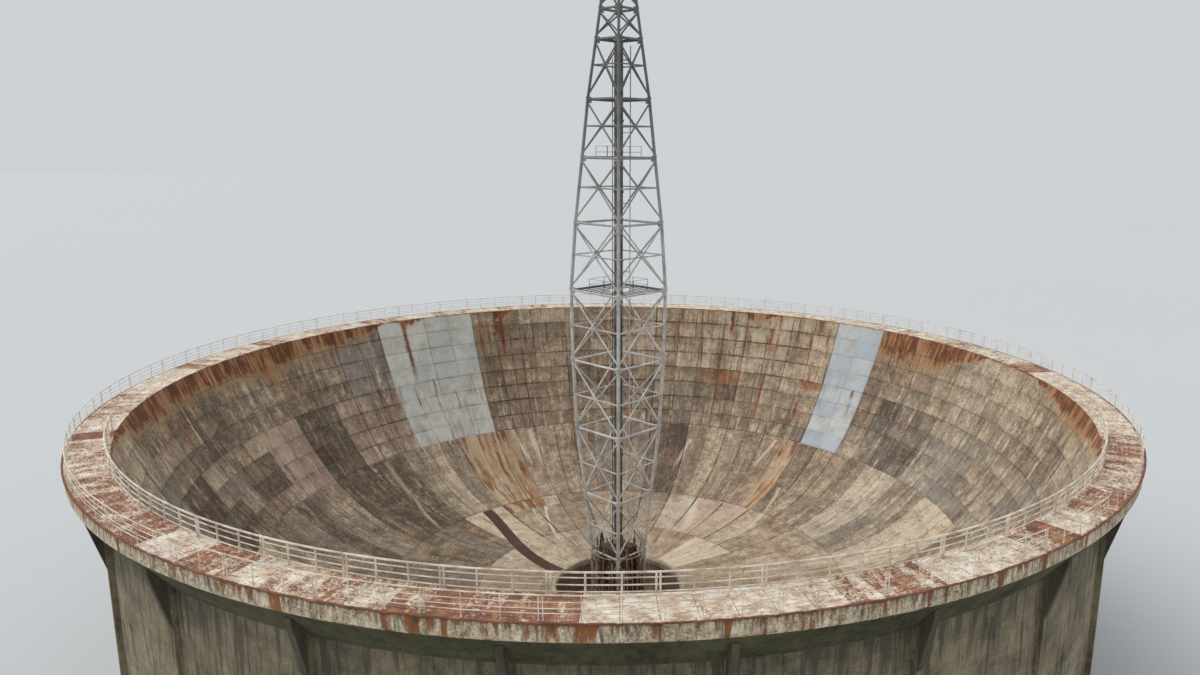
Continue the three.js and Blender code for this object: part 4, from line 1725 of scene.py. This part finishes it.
@dataclass
class TowerFittings:
    """What stands inside the tower: the column, the ladder and the platforms."""

    steel: Material
    grating: Material
    column_paint: Material
    column_low: float = -6.35
    column_high: float = 11.9
    column_radius: float = 0.155
    # Flanges of the column: spacing, half height and how far they stand out.
    flange_step: float = 2.4
    flange: float = 0.03
    ladder_x: float = 0.4
    ladder_half: float = 0.13
    ladder_high: float = 11.7
    rung_step: float = 0.15
    # Level of the tower and number of bearing bars of each platform.
    platforms: tuple[tuple[int, int], ...] = ((5, 9), (7, 14), (8, 20), (9, 12))

    def build(self) -> None:
        """Builds the column, the ladder and the four platforms."""
        self.column()
        self.ladder()
        for number, (level, bars) in enumerate(self.platforms):
            self.platform(number + 1, level, bars)

    def column(self) -> None:
        """Spins the column with its pairs of flanges, and adds its conduits."""
        inner, outer = self.column_radius, self.column_radius + self.flange
        profile = [(0.0, self.column_low), (inner, self.column_low)]
        height = self.column_low + self.flange_step / 2
        while height < self.column_high - 0.4:
            low, high = height - self.flange, height + self.flange
            profile += [(inner, low), (outer, low), (outer, high), (inner, high)]
            height += self.flange_step
        profile += [(inner, self.column_high), (0.0, self.column_high)]
        piece = ring([(r, DECK + z) for r, z in profile], [18.0 * i for i in range(21)])
        face_out(piece)
        parts = [piece]
        for bearing, away, size in ((-150.0, 0.2, 0.018), (-95.0, 0.21, 0.016), (160.0, 0.2, 0.018)):
            foot = polar(away, bearing, DECK + self.column_low)
            head = polar(away, bearing, DECK + self.column_high - 0.6)
            parts.append(tube(foot, head, size))
        whole = joined(parts)
        hand_in(whole, "central_column_tube", [self.column_paint], ["central_column"], 35.0)

    def ladder(self) -> None:
        """Builds two stiles with close rungs and stays back to the column."""
        low, high = DECK + self.column_low, DECK + self.ladder_high
        start, end = (Vector((self.ladder_x, side * self.ladder_half, 0)) for side in (-1, 1))
        rise = Vector((0, 0, (low + high) / 2))
        parts = [block((0.03, 0.016, high - low), place + rise, 0.003) for place in (start, end)]
        count = int((high - low - 0.1) / self.rung_step)
        rungs = [low + 0.1 + self.rung_step * i for i in range(count)]
        parts.append(copies(tube(start, end, 0.009), [Matrix.Translation((0, 0, z)) for z in rungs]))
        stay = tube(Vector((0.1, -0.1, 0)), start, 0.01)
        twin = tube(Vector((0.1, 0.1, 0)), end, 0.01)
        stays = [Matrix.Translation((0, 0, low + 0.8 + 2.4 * i)) for i in range(8)]
        parts.append(copies(joined([stay, twin]), stays))
        hand_in(joined(parts), "ladder_rungs", [self.steel], ["ladder"], 40.0)

    def platform(self, number: int, level: int, bars: int) -> None:
        """Builds one platform: bearing bars with a way up, an edge angle and handrails.

        Args:
            number: The platform, counted from the lowest.
            level: Which of LEVELS it lies on.
            bars: Number of its bearing bars.
        """
        height = LEVELS[level][0] - FRAME_DROP
        across = leg_point(0, height).x / math.sqrt(2) - 0.045
        gap = 2 * across / bars
        parts = []
        for index in range(bars):
            offset = -across + gap * (index + 0.5)
            for low, high in self.cut_bar(offset, across):
                bar = block((high - low, 0.014, 0.03), Vector(((low + high) / 2, offset, 0)))
                parts.append(placed(bar, Matrix.Rotation(math.pi / 4, 4, "Z")))
        for side in range(4):
            edge = block((2 * across, 0.03, 0.07), Vector((0, across - 0.015, 0.015)), 0.003)
            parts.append(placed(edge, Matrix.Rotation(math.pi / 4 + side * math.pi / 2, 4, "Z")))
        piece = placed(joined(parts), Matrix.Translation((0, 0, DECK + height)))
        # Only the two lower platforms still have their handrails.
        whole = joined([piece, self.handrail(height)]) if number < 3 else piece
        name = f"platform_{number}"
        hand_in(whole, f"{name}_grating", [self.grating], [name], 40.0)

    def cut_bar(self, offset: float, across: float) -> list[tuple[float, float]]:
        """Cuts a bearing bar so that the way up and the column stay clear.

        Args:
            offset: Distance of the bar from the platform's middle.
            across: Half the platform's width.

        Returns:
            Start and end of each stretch.
        """
        first, last = 0.03 - across, across - 0.03
        reach = min(0.42, across * 0.55) - abs(offset)
        if reach <= 0:
            return [(first, last)]
        high = reach + 0.12
        return [(first, -reach), (high, last)] if high < last else [(first, -reach)]

    def handrail(self, height: float) -> Piece:
        """Builds two rails and short posts round the way up.

        Args:
            height: The platform's height against the deck.

        Returns:
            The handrail.
        """
        half = 0.62 * leg_point(0, height).x
        low = DECK + height
        parts = []
        for up in (0.2, 0.4):
            parts += quarter_turns(tube(Vector((half, 0, low + up)), Vector((0, half, low + up)), 0.006))
        for share in (0.0, 0.5):
            foot = Vector((half * (1 - share), half * share, low))
            parts += quarter_turns(tube(foot, foot + Vector((0, 0, 0.41)), 0.01))
        return joined(parts)


@dataclass
class TowerFoot:
    """Ruined casing and pit edge round the foot of the tower."""

    rusted: Material
    steel: Material
    broken: Material
    box_paint: Material
    seed: int = 12
    sheets: int = 34
    sheet_steps: int = 6
    bars: int = 30

    def build(self) -> None:
        """Builds the casing, its frame, the broken pit rim, the rubble and the switch box."""
        self.casing()
        self.casing_frame()
        self.pit_rim()
        self.rubble("pit_rubble", -92.0, PIT_RADIUS + 0.22, 26, 0.3)
        self.rubble("seam_rubble", 151.0, SEAM_B - 0.1, 16, 0.34)
        box = block((0.16, 0.12, 0.22), Vector((-0.1, -0.24, DECK - 6.05)), 0.01)
        hand_in(box, "switch_box", [self.box_paint])

    def casing(self) -> None:
        """Stands torn sheets round the pedestal, each one extruded up in steps and bent as it goes."""
        chance = random.Random(self.seed)
        parts = []
        for index in range(self.sheets):
            bearing = index * 360 / self.sheets + chance.uniform(-4, 4)
            wide = chance.uniform(0.05, 0.12)
            foot = DECK - 9.0 + chance.uniform(0.0, 1.2)
            top = DECK - 6.3 + chance.uniform(-0.9, 0.35)
            away = chance.uniform(0.76, 0.98)
            sheet = chain([Vector((0, 0, 0)), Vector((2 * wide, 0, 0))])
            for _ in range(self.sheet_steps):
                aside = (chance.uniform(-0.05, 0.05), chance.uniform(-0.03, 0.03))
                step = (*aside, (top - foot) / self.sheet_steps)
                bpy.ops.mesh.extrude_region_move(TRANSFORM_OT_translate={"value": step})
                bpy.ops.transform.resize(value=(chance.uniform(0.7, 1.15), 1, 1))
            bpy.ops.object.mode_set(mode="OBJECT")
            turn = Matrix.Rotation(math.radians(bearing), 4, "Z")
            parts.append(placed(sheet, Matrix.Translation(polar(away, bearing, foot)) @ turn))
        piece = joined(parts)
        give_wall(piece, 0.012)
        face_out(piece)
        hand_in(piece, "pedestal_casing", [self.rusted], smooth=20.0)

    def casing_frame(self) -> None:
        """Stands bare frame bars round the casing and ties them with two broken hoops."""
        chance = random.Random(self.seed + 2)
        parts = []
        for index in range(self.bars):
            bearing = index * 360 / self.bars + chance.uniform(-4, 4)
            away = chance.uniform(0.94, 1.06)
            top = DECK - 6.35 + chance.uniform(-0.9, 0.3)
            foot = polar(away, bearing, DECK - 9.05)
            head = polar(away - chance.uniform(0.0, 0.12), bearing + chance.uniform(-3, 3), top)
            parts.append(tube(foot, head, chance.uniform(0.018, 0.032)))
        for height, low, high in ((-6.5, -150, 60), (-7.3, -60, 170)):
            for turn in range(low, high - 14, 15):
                start, end = (polar(0.98, bearing, DECK + height) for bearing in (turn, turn + 15))
                parts.append(tube(start, end, 0.02))
        hand_in(joined(parts), "casing_frame", [self.steel])

    def pit_rim(self) -> None:
        """Spins a kerb round the pit and breaks its edge."""
        height = bowl_height(PIT_RADIUS)
        inner, outer = PIT_RADIUS - 0.03, PIT_RADIUS + 0.16
        section = [
            (inner, height - 0.19),
            (outer, height - 0.12),
            (outer, height + 0.012),
            (PIT_RADIUS + 0.02, height + 0.03),
            (inner, height - 0.02),
            (inner, height - 0.19),
        ]
        piece = ring(section, [4.0 * i for i in range(91)])
        face_out(piece)
        with editing(piece):
            bpy.ops.transform.vertex_random(offset=0.022, uniform=0.1, seed=self.seed)
        hand_in(piece, "pit_edge", [self.broken], smooth=10.0)

    def rubble(self, name: str, bearing: float, radius: float, count: int, reach: float) -> None:
        """Scatters broken lumps on the bowl's face about a point.

        Args:
            name: The piece's name.
            bearing: Bearing of the middle of the heap.
            radius: Radius of the middle of the heap.
            count: Number of lumps.
            reach: How far the heap spreads.
        """
        chance = random.Random(name)
        parts = []
        for index in range(count):
            size = chance.uniform(0.035, 0.11)
            away = radius + abs(chance.gauss(0, reach * 0.5))
            turn = bearing + math.degrees(chance.gauss(0, reach) / radius)
            place = polar(away, turn, bowl_height(away) + size * 0.25)
            lump = block((size, size * chance.uniform(0.6, 1.2), size * chance.uniform(0.5, 0.9)), place)
            with editing(lump):
                bpy.ops.mesh.subdivide(number_cuts=1)
                bpy.ops.transform.vertex_random(offset=size * 0.3, uniform=0.5, seed=index + 1)
            parts.append(settle(lump))
        hand_in(joined(parts), name, [self.broken], smooth=10.0)


@dataclass
class FloorStrip:
    """Dark sheet laid down the bowl's floor to the pit."""

    finish: Material
    thick: float = 0.012
    lift: float = 0.018
    half: float = 0.235
    top: float = 8.55
    foot: float = 2.45
    # Bearing at the top, and how far it bends round by the foot.
    bearing: float = -137.0
    bend: float = 24.0
    steps: int = 14

    def build(self) -> None:
        """Extrudes a band of faces down the bowl and gives it its thickness."""
        rows = []
        for index in range(self.steps + 1):
            share = index / self.steps
            radius = self.top + (self.foot - self.top) * share
            middle = self.bearing + self.bend * share**1.7
            half = math.degrees(self.half / radius)
            height = bowl_height(radius) + self.lift
            rows.append([polar(radius, middle + side, height) for side in (-half, half)])
        piece = chain(rows[0])
        bpy.ops.mesh.select_mode(type="EDGE")
        bpy.ops.mesh.select_all(action="SELECT")
        for last, row in zip(rows, rows[1:]):
            shift = (row[0] + row[1] - last[0] - last[1]) / 2
            bpy.ops.mesh.extrude_region_move(TRANSFORM_OT_translate={"value": shift})
            ratio = (row[1] - row[0]).length / (last[1] - last[0]).length
            bpy.ops.transform.resize(value=(ratio,) * 3, center_override=(row[0] + row[1]) / 2)
        give_wall(settle(piece), self.thick)
        face_out(piece)
        hand_in(piece, "floor_strip", [self.finish], smooth=20.0)


# Studio


@dataclass
class Studio:
    """Pale floor, soft light and the camera at the photograph's angle."""

    lens: float = 27.108
    distance: float = 31.828
    eye: float = 17.8
    pitch: float = 11.932
    yaw: float = 2.644
    roll: float = 0.597
    # The photograph is trimmed on its right side, by this share of its width.
    trimmed: float = 0.04937
    floor_radius: float = 600.0
    sky: str = "#e9eef2"
    sky_strength: float = 0.75
    # The sun's strength, the width of its disc in degrees and its turn from overhead.
    sun: float = 1.6
    sun_width: float = 70.0
    sun_turn: tuple[float, float] = (-10.0, -38.0)

    def build(self, finish: Material) -> None:
        """Sets out the floor, the lights and the camera.

        Args:
            finish: The floor's finish.
        """
        start_fresh()
        bpy.ops.mesh.primitive_circle_add(
            vertices=96, radius=self.floor_radius, fill_type="NGON", location=(0, 0, 0)
        )
        floor = bpy.context.object
        floor.name = "studio_floor"
        floor.data.materials.append(finish)
        self.lights()
        self.camera()

    def lights(self) -> None:
        """Lights the dish as under a bright overcast sky, a little from the left."""
        scene = bpy.context.scene
        scene.view_settings.view_transform = "Standard"
        world = bpy.data.worlds.new("overcast")
        world.use_nodes = True
        shade = world.node_tree.nodes["Background"]
        shade.inputs["Color"].default_value = linear(self.sky)
        shade.inputs["Strength"].default_value = self.sky_strength
        scene.world = world
        start_fresh()
        bpy.ops.object.light_add(type="SUN", location=(0, 0, 40))
        key = bpy.context.object
        key.rotation_euler = (*(math.radians(turn) for turn in self.sun_turn), 0)
        key.data.energy = self.sun
        key.data.angle = math.radians(self.sun_width)

    def camera(self) -> None:
        """Places the camera and makes it the scene's own."""
        start_fresh()
        bpy.ops.object.camera_add()
        camera = bpy.context.object
        pitch, yaw, roll = (math.radians(a) for a in (self.pitch, self.yaw, self.roll))
        ahead = Vector((math.sin(yaw) * math.cos(pitch), math.cos(yaw) * math.cos(pitch), -math.sin(pitch)))
        level = Vector((math.cos(yaw), -math.sin(yaw), 0))
        up = level.cross(ahead)
        right = math.cos(roll) * level + math.sin(roll) * up
        top = -math.sin(roll) * level + math.cos(roll) * up
        turn = Matrix((right, top, -ahead)).transposed().to_4x4()
        camera.matrix_world = Matrix.Translation((0, -self.distance, self.eye)) @ turn
        camera.data.sensor_width = 36.0
        camera.data.lens = self.lens
        camera.data.shift_x = -self.trimmed
        camera.data.clip_end = 2000.0
        bpy.context.scene.camera = camera


def finishes() -> dict[str, Material]:
    """Makes every finish of the dish.

    Returns:
        The materials, by what they are on.
    """
    column = math.radians(COLUMN_DEG)
    shades = ("#5a4a3b", "#9a866e", "#dac6a9")
    slab_shades = ("#66563f", "#ab957a", "#e3d0b3")
    strips = {"limes": LIME_STREAKS, "streaky": 0.9, "grid": 0.2, "drips": 0.7}
    slabs = {"limes": LIME_STREAKS, "streaky": 0.5, "grid": 0.5, "drips": 0.3}
    soffit = {"board": 0.18, "board_mark": 0.75}
    wall = {"top": 8.1, "run": 3.0, "rusty": -0.08, "board": 0.25, "board_mark": 0.25, "ribs": 16.38}
    made = {
        "panels": PanelConcrete(
            "weathered_concrete_panels", *shades, MOUTH, MOUTH * column, 0.8, RUST_STREAKS
        ),
        "strips": PanelConcrete("weathered_concrete_strips", *shades, STRIPS, STRIPS * column, **strips),
        "slabs": PanelConcrete(
            "weathered_concrete_slabs", *slab_shades, SLABS, SLABS * column * 2, **slabs
        ),
        "fascia": FasciaConcrete("weathered_fascia_concrete"),
        # The soffit's dark colours are painted shade under the beam's overhang, over its board-marked
        # concrete.
        "soffit": CastConcrete("board_marked_concrete", "#17170b", "#66633f", **soffit),
        # The wall's dark colour and its darkening towards the soffit are partly stains and runs, partly
        # painted shade under the overhang.
        "wall": CastConcrete("cast_wall_concrete", "#2e281b", "#b6a686", **wall),
        # The dark band at the top of the pit's wall is painted shade under the rim.
        "pit": CastConcrete("stained_pit_concrete", "#4f4236", "#ab9884", top=1.9, run=0.6),
        "broken": CastConcrete("broken_concrete", "#8a7b65", "#cfbfa5"),
        "deck": FlakedDeckPaint("flaked_deck_paint"),
        "rails": WornPaint("worn_rail_paint", "#f3e8d7", "#bfae97"),
        "zinc": GalvanisedSteel("galvanised_steel"),
        # The platforms' grating is darker than the tower's zinc: painted shade, as they are seen from
        # below.
        "grating": GalvanisedSteel("grating_steel_painted_shade", "#8b8a86", "#5f5e5a"),
        "column": WornPaint("dark_column_paint", "#6b6d66", "#474943", rust_share=-0.02),
        "casing": WornPaint("rusted_sheet_steel", "#5f4636", "#2b211a", "#a3836a", 0.1, 6.0),
        "bars": WornPaint("bleached_bar_steel", "#b5a897", "#7d6c5b", "#5d4130", 0.08),
        "strip": WornPaint("oxide_red_sheet", "#5a3628", "#43291e", "#6b4632", scale=1.5),
        "box": WornPaint("pale_box_enamel", "#c9c6bc", "#a29c8f"),
        "floor": StudioFloor("studio_floor"),
    }
    return {use: finish.material() for use, finish in made.items()}


def build_bowl(made: dict[str, Material]) -> None:
    """Builds the bowl's three bands and the strip on its floor.

    Args:
        made: The materials.
    """
    seam_a, seam_b, seam_c = (float(slope_at(np.array(r))) for r in (SEAM_A, SEAM_B, SEAM_C))
    gap = 0.002
    upper = (0.026, *(0.8 * i for i in range(1, 8)), seam_a)
    middle = (seam_a + gap, seam_a + 1.1, seam_a + 2.3, seam_a + 3.4, seam_b)
    lower = (seam_b + gap, seam_b + 0.8, seam_b + 1.6, seam_b + 2.5, seam_c, seam_c + 1.4, float(SLOPE[-1]))
    rows = ((*range(8),), (0,) * 4, (0, 0, 0, 0, 1, 1))
    BowlBand("bowl_upper", "bowl_concrete", upper, rows[0], (1,) * 8, MOUTH, made["panels"], 7, 0.6).build()
    BowlBand("bowl_middle", "bowl_concrete", middle, rows[1], (1,), STRIPS, made["strips"], 8, 0.9).build()
    BowlBand(
        "bowl_lower", "bowl_floor_concrete", lower, rows[2], (2, 4), SLABS, made["slabs"], 9, 0.5, 0.026
    ).build()
    FloorStrip(made["strip"]).build()


def build_rim(made: dict[str, Material]) -> None:
    """Builds the deck, the beam and the two railings.

    Args:
        made: The materials.
    """
    RimDeck(made["deck"]).build()
    RingBeam(made["fascia"], made["soffit"]).build()
    # Share of the railing's height at which its lower rails run.
    outer = (0.71, 0.46, 0.27)
    inner = (0.74, 0.45, 0.17)
    breaks = {
        Side.FRONT: ((-31.5, -17.6, 1), (5.3, 8.3, 2), (12.4, 29.2, 0), (32.8, 36.1, 0), (42.8, 45, 0)),
        Side.RIGHT: ((45, 58, 0),),
    }
    sizes = {"top_rail": 0.014, "rail": 0.009, "post": 0.01}
    for side in Side:
        name = f"outer_rail_{side.word}"
        span = (side.value - HALF_QUARTER, side.value + HALF_QUARTER)
        broken = breaks.get(side, ())
        Railing(f"{name}_tubes", name, made["rails"], 16.89, *span, outer, broken=broken, **sizes).build()
    for name, low, high in (("inner_rail_left", -71.25, 0), ("inner_rail_right", 0, 71.25)):
        Railing(f"{name}_tubes", name, made["rails"], 15.965, low, high, inner).build()


def build_tower(made: dict[str, Material]) -> None:
    """Builds the tower from its foot up, with what stands inside it.

    Args:
        made: The materials.
    """
    for name, low, high, leg in (
        ("tower_base", 0, 2, 0.062),
        ("tower_lower", 2, 4, 0.062),
        ("tower_middle", 4, 6, 0.06),
        ("tower_upper", 6, 8, 0.055),
        ("tower_top", 8, 11, 0.05),
    ):
        LatticeSection(name, low, high, made["zinc"], leg).build()
    TowerFittings(made["zinc"], made["grating"], made["column"]).build()
    TowerFoot(made["casing"], made["bars"], made["broken"], made["box"]).build()


def main() -> None:
    """Builds the dish from the bowl out, then its tower, and sets out the studio."""
    logging.basicConfig(level=logging.INFO, format="%(message)s")
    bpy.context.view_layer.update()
    made = finishes()
    build_bowl(made)
    build_rim(made)
    for side in Side:
        dress_node(f"outer_wall_{side.word}", made["wall"])
    dress_node("pit", made["pit"])
    build_tower(made)
    dress_node("tower_head", made["zinc"])
    dress_node("tower_pedestal", made["casing"])
    Studio().build(made["floor"])

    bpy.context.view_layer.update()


if __name__ == "__main__":
    main()
